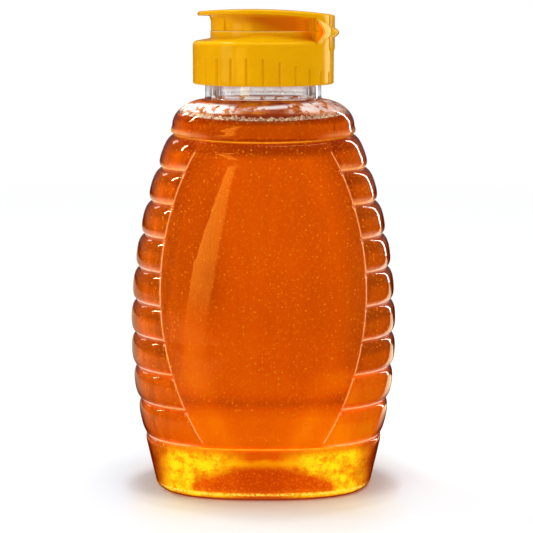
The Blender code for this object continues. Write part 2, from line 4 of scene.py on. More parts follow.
import bmesh
import bpy
import numpy as np
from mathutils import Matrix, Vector


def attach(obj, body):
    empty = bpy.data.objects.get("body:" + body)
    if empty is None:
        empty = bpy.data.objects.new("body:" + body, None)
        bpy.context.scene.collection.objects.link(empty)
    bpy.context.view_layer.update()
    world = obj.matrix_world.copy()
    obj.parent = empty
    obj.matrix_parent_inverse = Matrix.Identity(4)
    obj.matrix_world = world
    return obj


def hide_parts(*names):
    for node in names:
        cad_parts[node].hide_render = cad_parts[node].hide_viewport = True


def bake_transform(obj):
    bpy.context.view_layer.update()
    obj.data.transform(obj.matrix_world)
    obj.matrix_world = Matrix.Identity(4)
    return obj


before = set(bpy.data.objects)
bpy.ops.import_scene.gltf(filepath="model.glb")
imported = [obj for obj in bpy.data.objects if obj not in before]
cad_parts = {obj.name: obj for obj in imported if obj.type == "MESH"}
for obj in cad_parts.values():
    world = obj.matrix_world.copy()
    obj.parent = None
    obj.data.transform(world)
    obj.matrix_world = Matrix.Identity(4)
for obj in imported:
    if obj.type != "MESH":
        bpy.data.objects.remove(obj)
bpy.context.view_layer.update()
MM = 0.001


# Clear bottle. Blow-moulded polyester, 0.75 mm thick, oval, with ten grooves round its sides, a
# smooth panel on the front and the back, a pushed-up base and a thicker round neck with a thread.
class Socket:
    """One output of a shader node. Arithmetic on it adds Math nodes."""

    def __init__(self, tree, out=None):
        self.tree = tree
        self.out = out

    def node(self, kind, settings=None, inputs=None, output=0):
        """Adds a node, with its settings first and then its sockets' values or links."""
        made = self.tree.nodes.new("ShaderNode" + kind)
        for name, value in (settings or {}).items():
            if name == "stops":
                ramp = made.color_ramp.elements
                while len(ramp) < len(value):
                    ramp.new(1.0)
                for stop, (place, colour) in zip(ramp, value):
                    stop.position = place
                    stop.color = (*colour, 1.0)
            else:
                setattr(made, name, value)
        for name, value in (inputs or {}).items():
            if isinstance(value, Socket):
                self.tree.links.new(value.out, made.inputs[name])
            elif value is not None:
                made.inputs[name].default_value = value
        return Socket(self.tree, made.outputs[output])

    def math(self, operation, *others):
        return self.node("Math", {"operation": operation}, dict(enumerate((self, *others))))

    def vector(self, operation, *others, output=0):
        inputs = dict(enumerate((self, *others)))
        return self.node("VectorMath", {"operation": operation}, inputs, output)

    def __add__(self, other):
        return self.math("ADD", other)

    def __sub__(self, other):
        return self.math("SUBTRACT", other)

    def __rsub__(self, other):
        return self.node("Math", {"operation": "SUBTRACT"}, {0: other, 1: self})

    def __mul__(self, other):
        return self.math("MULTIPLY", other)

    def __truediv__(self, other):
        return self.math("DIVIDE", other)

    def __pow__(self, other):
        return self.math("POWER", other)

    def __abs__(self):
        return self.math("ABSOLUTE")

    __radd__ = __add__
    __rmul__ = __mul__

    def ramp(self, low, high):
        """0 below low, 1 above high, and a straight line between. It falls if high is lower."""
        inputs = {"Value": self, "From Min": low, "From Max": high}
        return self.node("MapRange", {"clamp": True}, inputs)

    def between(self, low, full, fall, high):
        """1 from full to fall, and down to 0 at low and at high."""
        return self.ramp(low, full) * self.ramp(high, fall)

    def tint(self, low, high):
        """The colour low where this is 0 and high where it is 1. Either may be a socket."""
        full = [c if isinstance(c, Socket) else (*c, 1.0) for c in (low, high)]
        inputs = {0: self, 6: full[0], 7: full[1]}
        return self.node("Mix", {"data_type": "RGBA"}, inputs, 2)

    def part(self, axis):
        return self.node("SeparateXYZ", None, {0: self}, axis)

    def length(self):
        return self.vector("LENGTH", output="Value")

    def noise(self, scale, detail=2.0, rough=0.5):
        inputs = {"Vector": self, "Scale": scale, "Detail": detail, "Roughness": rough}
        return self.node("TexNoise", None, inputs)

    def cells(self, scale, output):
        return self.node("TexVoronoi", None, {"Vector": self, "Scale": scale}, output)

    def bump(self, strength, distance):
        """A Bump node that reads this as a height, in units of distance."""
        inputs = {"Height": self, "Strength": strength, "Distance": distance}
        return self.node("Bump", None, inputs)

    def painted(self, name):
        """The numbers that paint() gave the mesh's points under this name."""
        return self.node("Attribute", {"attribute_name": name}, None, "Fac")

    def ray(self, kind):
        return self.node("LightPath", None, None, kind)

    def surface(self, colour, rough, glow=0.0, more=None):
        """A Principled shader, which gives off this share of its own colour as light."""
        if not isinstance(colour, Socket):
            colour = (*colour, 1.0)
        inputs = {"Base Color": colour, "Roughness": rough, **(more or {})}
        if glow:
            inputs.update({"Emission Color": colour, "Emission Strength": glow})
        return self.node("BsdfPrincipled", None, inputs)

    def layered(self, share, under, over):
        """The shader under, with this share of the shader over."""
        return self.node("MixShader", None, {0: share, 1: under, 2: over})


def new_finish(name):
    """An empty material, the entry to its nodes, and object coordinates in its tree."""
    material = bpy.data.materials.new(name)
    material.use_nodes = True
    material.node_tree.nodes.clear()
    entry = Socket(material.node_tree)
    return material, entry, entry.node("TexCoord", None, None, "Object")


def let_lamps_through(entry, glass, shade):
    """A glass shader that a shadow ray passes, tinted, as light passes the real piece."""
    open_way = entry.node("BsdfTransparent", None, {"Color": (*shade, 1.0)})
    return entry.layered(entry.ray("Is Shadow Ray"), glass, open_way)


def finish_with(entry, surface, volume=None):
    output = entry.tree.nodes.new("ShaderNodeOutputMaterial")
    entry.tree.links.new(surface.out, output.inputs["Surface"])
    if volume:
        entry.tree.links.new(volume.out, output.inputs["Volume"])


BODY_WIDTH, BODY_DEPTH, WIDEST = 79.9, 53.6, 47.5
BODY_WALL, NECK_WALL, PUSH_UP = 0.75, 1.7, 4.5
BASE_GROOVE, TOP_GROOVE, BASE_RIB, TOP_RIB = 16.6, 106.98, 2.6, 2.4
SIDE_CUT, BASE_CUT, PANEL_CUT = 1.9, 1.2, 0.3
GROOVES = [BASE_GROOVE] + [27.3 + 9.96 * index for index in range(9)]
PANEL_FOOT, PANEL_HEAD, PANEL_MIDDLE, PANEL_HALF = 18.0, 103.0, 61.5, 29.9
SHOULDER, SHOULDER_RISE, NECK_BASE, NECK_TOP = 109.38, 7.7, 117.08, 131.98
NECK_RADIUS, NECK_FILLET, RIM_CORNER = 17.2, 0.9, 0.5
THREAD_START, THREAD_PITCH, THREAD_RISE = 124.49, 4.233, 1.25
HONEY_LEVEL = 111.9
CIRCLE, QUARTER = 2 * math.pi, math.pi / 2


def rise(value, low, high):
    """0 below low, 1 above high, and a straight line between. It falls if high is lower."""
    return np.clip((value - low) / (high - low), 0.0, 1.0)


def peak(value, middle, reach):
    """1 at the middle and 0 from this distance on."""
    return np.clip(1.0 - np.abs(value - middle) / reach, 0.0, 1.0)


def eased(share):
    return share**2 * (3 - 2 * share)


def honey_line(x):
    """Height of the honey's edge on the wall, which it has climbed at both ends."""
    return HONEY_LEVEL + 1.7 * np.minimum(np.abs(x) / 33.0, 1.0) ** 2


def arc_drop(distance, radius):
    """How far a circular arc has fallen from its crest at this distance along it."""
    reach = np.minimum(np.abs(distance), 0.99 * radius)
    return radius - np.sqrt(radius**2 - reach**2)


def body_section(height):
    """Half width, half depth and squareness of the body over its ribs."""
    above = height - WIDEST
    width = BODY_WIDTH / 2 - arc_drop(above, np.where(above > 0, 155.4, 125.0))
    depth = BODY_DEPTH / 2 - arc_drop(above, np.where(above > 0, 420.0, 670.0))
    return width, depth, 2.15 + 0.45 * rise(height, WIDEST, BASE_GROOVE)


def base_section(height):
    width, depth, square = body_section(np.array(BASE_GROOVE))
    drawn_in = (BASE_GROOVE - height) * math.tan(math.radians(12.4))
    return width - drawn_in, depth - drawn_in, square


def rib_rise(share):
    """How much of its height a rib has at this share of the way from its groove to its crest."""
    sharp, power = 0.015, 2.8

    def swell(place):
        return (1.0 - (1.0 - np.minimum(place, 1.0)) ** power) ** (1.0 / power)

    return (swell(np.hypot(share, sharp)) - swell(sharp)) / (1.0 - swell(sharp))


def panel_edge(height):
    """Half width of the smooth panel, whose two edges are circular arcs."""
    above = np.clip(height, PANEL_FOOT, PANEL_HEAD) - PANEL_MIDDLE
    return PANEL_HALF - arc_drop(above, np.where(above > 0, 88.0, 81.4))


def bottle_rows():
    """Each row of the outside, from the base's middle to the mouth: height, half width, half
    depth, squareness, groove depth and wall, in millimetres."""
    rows = []

    def add(height, width, depth, square, cut=0.0, wall=BODY_WALL):
        rows.append([float(value) for value in (height, width, depth, square, cut, wall)])

    def add_round(height, radius):
        add(height, radius, radius, 2.0, 0.0, NECK_WALL)

    corner, ring = 2.2, 5.2
    width, depth, square = base_section(0.0)
    for share in np.sin(np.linspace(0.04, 0.985, 16) * QUARTER):
        add(PUSH_UP * (1.0 - share**2), (width - ring) * share, (depth - ring) * share, square)
    for inset in (ring - 0.25, ring - 0.8, 3.6, 2.9, corner):
        add(0.0, width - inset, depth - inset, square)
    for turn in np.linspace(0.1, 1.0, 9) * (QUARTER - 0.216):
        lift = corner * (1.0 - math.cos(turn))
        wide, deep, square = base_section(lift)
        inset = corner * (1.0 - math.sin(turn)) - 0.04 * math.sin(turn)
        add(lift, wide - inset, deep - inset, square)
    for height in np.linspace(2.4, 13.6, 12):
        add(height, *base_section(height))
    steps = np.array([0.0, 0.015, 0.04, 0.075, 0.12, 0.18, 0.26, 0.36, 0.48, 0.62, 0.8])
    for height in BASE_GROOVE - BASE_RIB * steps[:0:-1]:
        cut = BASE_CUT * (1.0 - rib_rise((BASE_GROOVE - height) / BASE_RIB))
        add(height, *base_section(height), cut)
    for low, high in zip(GROOVES, GROOVES[1:]):
        half = (high - low) / 2
        below = [low + half * step for step in steps]
        above = [high - half * step for step in (1.0, *steps[:0:-1])]
        for height in below + above:
            by_base = low == BASE_GROOVE and height - low <= high - height
            away = min(height - low, high - height) / half
            cut = (BASE_CUT if by_base else SIDE_CUT) * (1.0 - rib_rise(away))
            add(height, *body_section(height), cut)
    for step in steps:
        height = TOP_GROOVE + TOP_RIB * step
        add(height, *body_section(height), SIDE_CUT * (1.0 - rib_rise(step)))
    width, depth, square = body_section(SHOULDER)
    for turn in np.linspace(0.0, 0.93, 24) * QUARTER:
        out, up = math.cos(turn), math.sin(turn)
        wall = BODY_WALL + (NECK_WALL - BODY_WALL) * max(0.0, up - 0.9) * 10
        wide, deep = (NECK_RADIUS + (half - NECK_RADIUS) * out for half in (width, depth))
        add(SHOULDER + SHOULDER_RISE * up, wide, deep, 2.0 + (square - 2.0) * out, 0.0,
            min(NECK_WALL, wall))
    for turn in np.linspace(0.1, 1.0, 7) * QUARTER:
        add_round(NECK_BASE + NECK_FILLET * (1.0 - math.cos(turn)),
                  NECK_RADIUS + NECK_FILLET * (1.0 - math.sin(turn)))
    for height in np.linspace(NECK_BASE + NECK_FILLET + 0.25, NECK_TOP - RIM_CORNER, 64):
        add_round(height, NECK_RADIUS)
    for turn in np.linspace(0.2, 1.0, 5) * QUARTER:
        add_round(NECK_TOP - RIM_CORNER * (1.0 - math.sin(turn)),
                  NECK_RADIUS - RIM_CORNER * (1.0 - math.cos(turn)))
    return np.array(rows)


def bottle_outside(rows):
    """Points of the outside, row by row and round each row, in millimetres."""
    height, width, depth, square, cut = (rows[:, i : i + 1] for i in range(5))
    clamped = np.clip(height, PANEL_FOOT, PANEL_HEAD)
    share = np.minimum(panel_edge(height) / body_section(clamped)[0], 0.97)
    outer = np.minimum(share + 0.8 / width, 0.985)
    panel = share * np.linspace(0.0, 1.0, 21)[None, :]
    step = share + (outer - share) * np.linspace(0.0, 1.0, 7)[None, 1:]
    first = np.arcsin(outer ** (square / 2))
    turn = first + (QUARTER - first) * np.linspace(0.0, 1.0, 27)[None, 1:]
    across = np.hstack([panel, step, np.sin(turn) ** (2 / square)])
    along = np.clip(1.0 - across**square, 0.0, 1.0) ** (1 / square)
    along[:, -1] = 0.0
    step_rise = eased(np.linspace(0.0, 1.0, 7)[1:])
    off_panel = np.concatenate([np.zeros(21), step_rise, np.ones(26)])[None, :]
    fade = rise(height, 16.9, 17.9) * rise(height, 104.0, 102.4)
    on_panel = eased(fade) * (1.0 - off_panel)
    inset = cut * (1.0 - on_panel) + PANEL_CUT * on_panel
    x = (width - inset) * across
    y = (depth - inset) * along
    z = height - 1.2 * peak(height, TOP_GROOVE, 8.0) * along**2
    front = np.stack([x, -y, z], 2)
    back = np.stack([x, y, z], 2)[:, -2::-1]
    left_back = np.stack([-x, y, z], 2)[:, 1:]
    left_front = np.stack([-x, -y, z], 2)[:, -2:0:-1]
    return np.concatenate([front, back, left_back, left_front], 1)


def unit(vectors):
    return vectors / np.maximum(np.linalg.norm(vectors, axis=2, keepdims=True), 1e-9)


def outward(points):
    """Unit normals of a grid of points whose rows close on themselves."""
    round_it = np.roll(points, -1, 1) - np.roll(points, 1, 1)
    return unit(np.cross(round_it, np.gradient(points, axis=0)))


def thread_height(points, start, first, last):
    """How far the thread stands out at each point of a round wall, from its first lap to its
    last. It passes this start height at the angle 0."""
    angle = np.mod(np.arctan2(points[..., 1], points[..., 0]), CIRCLE) / CIRCLE
    stand = np.zeros(angle.shape)
    for lap in range(3):
        turned = angle + lap
        away = np.abs(points[..., 2] - start - THREAD_PITCH * turned)
        fade = rise(np.minimum(turned - first, last - turned), 0.0, 0.1)
        stand = np.maximum(stand, THREAD_RISE * rise(away, 1.15, 0.5) * fade)
    return stand


def new_piece(name, points, faces):
    """An object with this mesh, whose points are in millimetres."""
    mesh = bpy.data.meshes.new(name)
    mesh.from_pydata((np.asarray(points) * MM).tolist(), [], faces)
    thing = bpy.data.objects.new(name, mesh)
    bpy.context.scene.collection.objects.link(thing)
    return thing


def skinned(name, rings, bottom, top):
    """A closed mesh over rings of points in millimetres, lowest first, ended by two points."""
    count = rings.shape[1]
    points = np.vstack([rings.reshape(-1, 3), [bottom, top]])
    row, column = np.meshgrid(np.arange(len(rings) - 1), np.arange(count), indexing="ij")
    low, after = row * count, (column + 1) % count
    quads = np.stack([low + column, low + after, low + count + after, low + count + column], 2)
    faces = quads.reshape(-1, 4).tolist()
    first, last = len(points) - 2, (len(rings) - 1) * count
    for column in range(count):
        faces.append((first, (column + 1) % count, column))
        faces.append((first + 1, last + column, last + (column + 1) % count))
    thing = new_piece(name, points, faces)
    thing.data.validate()
    thing.data.shade_smooth()
    return thing


def paint(thing, name, values):
    """Gives each point of the mesh a number, which its finish can read by this name."""
    attribute = thing.data.attributes.new(name, "FLOAT", "POINT")
    attribute.data.foreach_set("value", np.asarray(values).ravel().astype(np.float32))


rows = bottle_rows()
outside = bottle_outside(rows)
normals = outward(outside)
inside = outside - normals * rows[:, 5][:, None, None]
on_neck = rows[:, 0] > NECK_BASE + NECK_FILLET
ridge = thread_height(outside, THREAD_START, 0.0, 1.25)[..., None]
threaded = outside + unit(outside * [1.0, 1.0, 0.0]) * ridge * on_neck[:, None, None]
inside[-5:] = inside[-6] + (outside[-5:] - outside[-6]) * [0.0, 0.0, 1.0]
shell = np.concatenate([threaded, inside[::-1]])
bottle = skinned("bottle_shell", shell, (0, 0, PUSH_UP), (0, 0, PUSH_UP + BODY_WALL))

clear_plastic, entry, place = new_finish("clear_plastic")
height = place.part(2) / MM
# Painted shade: dark streaks near the neck's edges, where its wall is seen edge on.
facing = entry.node("LayerWeight", None, {"Blend": 0.5}, "Facing")
streaks = place.vector("MULTIPLY", (1.0, 1.0, 0.12)).noise(700.0, 3.0).ramp(0.34, 0.46)
painted_edge_streaks = facing.between(0.34, 0.42, 0.60, 0.70) * streaks * height.ramp(116.4, 117.4)
tinted = (painted_edge_streaks * 0.97).tint((0.985, 0.992, 0.99), (0.075, 0.03, 0.018))
shaded = height.ramp(119.2, 121.0) * (place.noise(300.0, 3.0).ramp(0.35, 0.6) * 0.5 + 0.4)
tinted = shaded.tint(tinted, (0.60, 0.42, 0.37))
haze = place.noise(700.0, 3.0).ramp(0.45, 0.8) * 0.03 + 0.008
glass = entry.surface(tinted, haze, 0.0, {
    "IOR": 1.5, "Transmission Weight": 1.0,
    "Normal": place.noise(90.0, 2.0).bump(0.12, 0.0006),
})
# A brown honey film on the shoulder, partly a painted reflection of the honey below, with a little
# painted glow.
smear = place.vector("MULTIPLY", (0.3, 1.0, 2.0)).noise(260.0, 3.0, 0.6).ramp(0.33, 0.46)
patches = place.noise(190.0, 4.0, 0.65).ramp(0.4, 0.7)
smear_and_reflection_colour = patches.tint((0.26, 0.030, 0.002), (0.66, 0.19, 0.014))
smear_and_reflection_shader = entry.surface(smear_and_reflection_colour, 0.2, 0.3, {"Specular IOR Level": 0.0})
glass = entry.layered(entry.painted("smear") * smear * 0.93, glass, smear_and_reflection_shader)
# White beads of condensed water, partly a painted highlight, with a little painted glow.
beads = place.noise(230.0, 5.0, 0.75)
bead_colour = beads.ramp(0.45, 0.51).tint((0.52, 0.15, 0.025), (0.92, 0.90, 0.88))
beaded = entry.surface(bead_colour, 0.15, 0.32, {"Specular IOR Level": 0.2})
fog = entry.painted("fog") * beads.ramp(0.40, 0.47) * 0.88
glass = entry.layered(fog, glass, beaded)
finish_with(entry, let_lamps_through(entry, glass, (0.93, 0.94, 0.94)))

filled_plastic, entry, place = new_finish("clear_plastic_filled")
# Painted shade: the wall darkens to red-brown towards its edges, as the honey seen through it
# there would.
facing = entry.node("LayerWeight", None, {"Blend": 0.5}, "Facing")
rim = (facing.ramp(0.52, 0.80) * 0.95).tint((0.985, 0.992, 0.99), (0.25, 0.03, 0.005))
haze = place.noise(60.0, 3.0).ramp(0.4, 0.7) * 0.02 + 0.006
glass = entry.surface(rim, haze, 0.0, {
    "IOR": 1.5, "Specular Tint": (1.0, 0.55, 0.17, 1.0), "Transmission Weight": 1.0,
    "Normal": place.noise(90.0, 2.0).bump(0.10, 0.0006),
})
# Painted highlights, peach and gold, where lit_edges() says the wall's edges catch the light; they
# glow a little.
outer_end = abs(place.part(0) / MM).ramp(28.5, 37.0)
lip_colour = outer_end.tint((0.96, 0.42, 0.13), (0.96, 0.70, 0.56))
lip_colour = entry.painted("gold").tint(lip_colour, (1.0, 0.44, 0.012))
caught = entry.surface(lip_colour, 0.3, 0.45, {"Specular IOR Level": 0.2})
broken = place.noise(420.0, 2.0).ramp(0.3, 0.62) * 0.3 + 0.65
glass = entry.layered(entry.painted("lip") * broken, glass, caught)
finish_with(entry, let_lamps_through(entry, glass, (0.93, 0.94, 0.94)))

wetted_plastic, entry, place = new_finish("clear_plastic_wetted")
glass = entry.surface((0.99, 0.99, 0.985), 0.0, 0.0, {"IOR": 1.005, "Transmission Weight": 1.0})
finish_with(entry, let_lamps_through(entry, glass, (0.97, 0.97, 0.96)))
for finish in (clear_plastic, wetted_plastic, filled_plastic):
    bottle.data.materials.append(finish)
outer_faces = len(outside) * shell.shape[1]
for face in bottle.data.polygons:
    if face.center.z < honey_line(face.center.x / MM) * MM:
        face.material_index = 1 if face.index >= outer_faces else 2


def lit_edges(points, heights):
    """Painted highlights where the wall's sharp edges catch the light, along the grooves and the
    panel's border, with a painted sheen above the top groove, and where that light is golden, from
    0 to 1."""
    x, height = np.abs(points[..., 0]), heights[:, None]
    across = x - panel_edge(heights)[:, None]
    nearest = np.array(GROOVES)[np.argmin(np.abs(height - np.array(GROOVES)), axis=1)][:, None]
    above = height - nearest
    lip = np.minimum(1.6 * peak(above, 0.42, 0.58), 1.0)
    upper = rise(height, 55.0, 85.0)
    below_lip = rise(above, 1.56 + 0.9 * upper, 0.26) * (above > 0.26)
    below_lip = below_lip * (0.28 + 0.42 * upper * rise(across, 7.0, 2.0))
    lip = np.maximum(lip, below_lip) * (height < 104.0) * rise(across, 0.25, 0.45)
    sheen = peak(height, TOP_GROOVE + 1.0, 1.1) * rise(x, 15.0, 23.0) * rise(x, 35.5, 32.5)
    lip = np.maximum(lip, sheen * np.where(points[..., 0] < 0, 0.6, 0.4))
    lip = np.where(nearest == BASE_GROOVE, lip * rise(x, 17.0, 23.0), lip)
    border = peak(across, 0.2, 0.24) * (height > 18.2) * (height < PANEL_HEAD)
    gold = peak(height, BASE_GROOVE - 0.05, 0.3) * rise(x, 24.0, 19.0)
    gold = np.maximum(gold, peak(height, TOP_GROOVE, 0.35) * rise(x, 36.0, 6.0))
    return np.clip(np.maximum(np.maximum(lip, border), gold), 0.0, 1.0), (gold > 0.05) * 1.0


def shoulder_film(points):
    """Painted marks inside the shoulder, from 0 to 1: a brown film of run-down honey that is
    partly a painted reflection of the honey below, and white beads of condensed water that are
    partly a painted highlight, with a ring round the neck's foot and one slanting strand."""
    x, z = points[..., 0], points[..., 2]
    beside = np.abs(x)
    smear = rise(z, 113.5, 114.3) * rise(z, 117.9, 117.1)
    smear = smear * (0.35 + 0.65 * rise(beside, 23.0, 17.0))
    fog = rise(beside, 6.0, 10.0) * rise(beside, 32.0, 29.0)
    fog = fog * rise(z, 113.9, 114.5) * np.where(x < 0, 1, 0.6) * rise(z, 116.7, 115.9)
    fog = np.maximum(fog, peak(z, 118.3, 0.7) * (beside < 15.0) * 0.9)
    off_strand = np.abs(z - 115.3 - 0.063 * (x + 5.0))
    strand = rise(off_strand, 0.65, 0.15) * rise(x, -7.0, -3.0)
    strand = strand * rise(x, 22.0, 18.0) * (points[..., 1] < 0)
    thinner = np.clip(1.6 - beside / 20.0 * (x > 0), 0.4, 1.0)
    return smear, np.maximum(fog * thinner, strand * 0.8)


lip, gold = lit_edges(outside, rows[:, 0])
smear, fog = shoulder_film(outside)
for name, values in (("lip", lip), ("gold", gold), ("smear", smear), ("fog", fog)):
    paint(bottle, name, np.concatenate([values.ravel(), np.zeros(values.size + 2)]))
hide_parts("bottle")
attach(bottle, "bottle_body")


# Honey, filled to the shoulder. It wets the wall, so it shows no surface of its own there. It is
# cloudy and gives off its own colour as painted light: a painted glow, orange where light would
# get in, and deep brown, painted shade, where it wouldn't. Fine bubbles speckle it.
HONEY_GAP = 0.04
fill = inside - normals * HONEY_GAP
below = fill[:, :, 2].max(axis=1) < HONEY_LEVEL - 0.05
last = int(np.argmin(below)) if not below.all() else len(below)
fill = fill[:last]
edge = fill[-1].copy()
climb = honey_line(edge[:, 0]) - HONEY_LEVEL
edge[:, :2] *= (1.0 - 0.03 * climb)[:, None]
edge[:, 2] = HONEY_LEVEL + climb
level = []
for share in (0.02, 0.05, 0.1, 0.16, 0.25, 0.5, 0.8):
    ring = edge * (1.0 - share)
    ring[:, 2] = HONEY_LEVEL + climb * max(0.0, 1.0 - share / 0.16) ** 2
    level.append(ring)
honey_rings = np.concatenate([fill, [edge], level])
honey_foot = PUSH_UP + BODY_WALL + HONEY_GAP
honey = skinned("honey_fill", honey_rings, (0, 0, honey_foot), (0, 0, HONEY_LEVEL))


def rib_light(x, z, heights, top_shade):
    """Painted glow of the honey in the ribs, light and shade that differ at the left, the right
    and below.
    """
    border = panel_edge(heights)[:, None]
    width = body_section(np.clip(heights, BASE_GROOVE, SHOULDER))[0][:, None]
    out = rise(np.abs(x), border, width)
    streak, flank = peak(out, 0.42, 0.13), rise(out, 0.52, 0.64)
    left_rib = 1.0 + rise(z, 45.0, 65.0) * (0.14 * streak - 0.26 * flank)
    high_rib = 0.82 + 0.05 * (z < 62.0) - 0.44 * top_shade
    high_rib = high_rib * np.where(x < 0, left_rib, 0.95)
    low_rib = np.where(z < 27.3, 0.96, 0.82 + 0.36 * rise(z, 28.8, 30.0)) - 0.15 * top_shade
    low_rib = low_rib * np.where(x < 0, 0.97 - 0.45 * out, 1.24 - 0.30 * out)
    return np.where(z < 37.3, low_rib, high_rib)


def honey_light(points, heights):
    """Painted glow of the honey at each point of its side, with painted light and shade, 1 being
    its plain colour.
    """
    x, z = points[..., 0], points[..., 2]
    beside, by_height = np.abs(x), heights[:, None]
    across = beside / body_section(np.clip(heights, BASE_GROOVE, SHOULDER))[0][:, None]
    grooves = np.array(GROOVES)
    which = np.clip(np.searchsorted(grooves, heights), 1, len(grooves) - 1)
    phase = rise(heights, grooves[which - 1], grooves[which])[:, None] * np.ones_like(x)
    inside_by = panel_edge(heights)[:, None] - beside
    on_rib = np.maximum(rise(inside_by, 0.4, -0.4), rise(by_height, 101.6, 102.4))
    on_rib = on_rib * (z < TOP_GROOVE) * (z > 17.0)
    on_face = 1.0 - on_rib
    top_shade = rise(phase, 0.55, 0.71) * np.where(inside_by > 0.0, 0.6, 1.0)
    edge_shade = rise(inside_by, 5.0, 0.0) ** 1.5 * rise(z, 26.0, 34.0)
    panel = 1.0 - 0.2 * edge_shade + 0.1 * peak(inside_by, 8.0, 5.0)
    shoulder = 0.83 + 0.12 * rise(across, 0.4, 0.7)
    glow = rib_light(x, z, heights, top_shade) * on_rib
    glow = glow + np.where(z < TOP_GROOVE, panel, shoulder) * on_face
    glow *= 1.0 - 0.3 * peak(inside_by, -0.9, 0.45) * (z > 24.0)
    glow *= 1.0 - 0.8 * rise(across, 0.92, 0.96)
    glow *= 1.0 - 0.6 * rise(z, HONEY_LEVEL - 1.4, HONEY_LEVEL - 0.1)
    low = rise(z, 30.5, 25.5) * (0.2 + 0.42 * np.clip(across - 0.15, 0.0, 0.5))
    glow *= 1.0 - 0.16 * peak(z, 30.3, 2.4) * on_face + low
    glow *= 1.0 - 0.10 * rise(x, 4.0, 22.0) * on_face * rise(z, 37.0, 47.0)
    glow *= 1.0 - 0.20 * rise(x, -9.0, -15.0) * on_face * rise(z, 50.0, 62.0)
    lit = 0.05 + 0.08 * rise(beside, 15.0, 20.0) + 0.18 * rise(x, 19.0, 23.0)
    glow *= 1.0 + lit * on_face * rise(np.abs(z - 36.3), 4.16, 1.56)
    return np.clip(glow, 0.0, 1.5)


glow = honey_light(fill, rows[:last, 0])
top_glow = np.full((len(honey_rings) - last, fill.shape[1]), 0.3)
paint(honey, "glow", np.append(np.concatenate([glow, top_glow]).ravel(), [0.9, 0.3]))

honey_finish, entry, place = new_finish("honey")
x, z = place.part(0) / MM, place.part(2) / MM
beside = abs(x)
veins = place.vector("MULTIPLY", (1.0, 1.0, 0.16)).noise(330.0, 3.0, 0.6)
on_side = beside.ramp(22.0, 30.0)
vein_depth = 0.12 + on_side * (x.ramp(0.0, -10.0) * 0.8 + 0.4)
uneven = 0.90 + place.noise(45.0, 2.0) * 0.2 + (veins - 0.5) * vein_depth
# The painted glow picks the colour, deep brown in painted shade up to bright orange in painted
# light.
light = entry.painted("glow") * uneven / 1.5
amber = light.node("ValToRGB", {"stops": [
    (0.0, (0.10, 0.008, 0.0005)), (0.3, (0.27, 0.026, 0.0005)), (0.5, (0.47, 0.060, 0.0005)),
    (0.667, (0.665, 0.094, 0.0006)), (0.87, (0.84, 0.155, 0.0006)), (1.0, (0.93, 0.24, 0.001)),
]}, {0: light})
amber = (on_side * 0.3).tint(amber, (0.52, 0.12, 0.006))
chosen = place.cells(900.0, "Color").part(0)
speck = place.cells(900.0, "Distance").ramp(0.28, 0.12) * (chosen ** 2.5 * 0.85 + 0.06)
speck = speck * (z.ramp(107.5, 104.0) * 0.65 + 0.35)
grain = place.noise(1300.0, 3.0, 0.7).ramp(0.54, 0.74) * 0.28
amber = speck.math("MAXIMUM", grain).tint(amber, (1.0, 0.36, 0.012))

# Painted light in the pushed-up base: bright wings, a band and a line at its foot where light
# through the honey would fall, and the push-up seen as a lens; painted shade in the outer corners
# and at the very bottom.
blotch = place.noise(260.0, 3.0, 0.6)
fine = place.noise(1500.0, 2.0, 0.6)
stirred = z + (blotch - 0.5) * 2.4
lens_top = 3.2 + 8.0 * (1.0 - (beside / 22.5).math("MINIMUM", 1.0) ** 2.0) ** 0.62
lens = (lens_top - z - (blotch - 0.5) * 1.2).ramp(-1.6, 1.6)
lens = lens * z.ramp(2.4, 3.0) * beside.ramp(22.5, 20.0)
lit_wings = beside.between(4.0, 15.0, 26.0, 33.0) * stirred.ramp(16.6, 14.2)
lit_wings = lit_wings * (blotch.ramp(0.32, 0.56) * 0.75 + 0.25) * (fine.ramp(0.3, 0.6) * 0.4 + 0.6)
band = abs(stirred - 12.0).ramp(2.0, 0.4) * beside.ramp(16.0, 8.0)
lit_foot_line = abs(z - 2.2).ramp(0.55, 0.15) * fine.ramp(0.38, 0.54)
lens_colour = (fine.ramp(0.55, 0.72) * 0.5).tint((0.56, 0.06, 0.001), (0.9, 0.3, 0.01))
corner = blotch.ramp(0.4, 0.65).tint((0.30, 0.035, 0.003), (0.60, 0.12, 0.004))
base = (fine.ramp(0.3, 0.7) * 0.25).tint((0.68, 0.095, 0.0006), (0.9, 0.22, 0.002))
for share, colour in (
    (band * 0.9, (1.0, 0.40, 0.002)), (lit_wings, (1.0, 0.74, 0.008)), (lens * 0.95, lens_colour),
    (beside.ramp(27.0, 32.0) * 0.9, corner), (lit_foot_line, (1.0, 0.70, 0.08)),
    (z.ramp(1.6, 1.1), (0.38, 0.05, 0.006)),
):
    base = share.tint(base, colour)
in_base = z.ramp(16.6, 16.0)
amber = in_base.tint(amber, base)
brighter = in_base * (lit_wings.math("MAXIMUM", lit_foot_line) * 0.55 + 0.12) + 1.0
shine = amber.node("VectorMath", {"operation": "SCALE"}, {0: amber, "Scale": brighter})

# Painted glow: the cloudy honey gives off its painted colour as light, with a little clear honey
# mixed in.
cloudy_glow = entry.surface(amber, 0.6, 0.0, {
    "IOR": 1.45, "Specular IOR Level": 0.0, "Emission Color": shine, "Emission Strength": 0.72,
})
clear = entry.surface((1.0, 0.86, 0.45), 0.0, 0.0, {"IOR": 1.01, "Transmission Weight": 1.0})
mixed = entry.layered(0.12, cloudy_glow, clear)
thickness = {"Color": (0.955, 0.77, 0.0, 1.0), "Density": 220.0}
absorb = entry.node("VolumeAbsorption", None, thickness)
finish_with(entry, let_lamps_through(entry, mixed, (0.62, 0.57, 0.46)), absorb)
honey.data.materials.append(honey_finish)
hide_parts("honey")
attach(honey, "bottle_body")


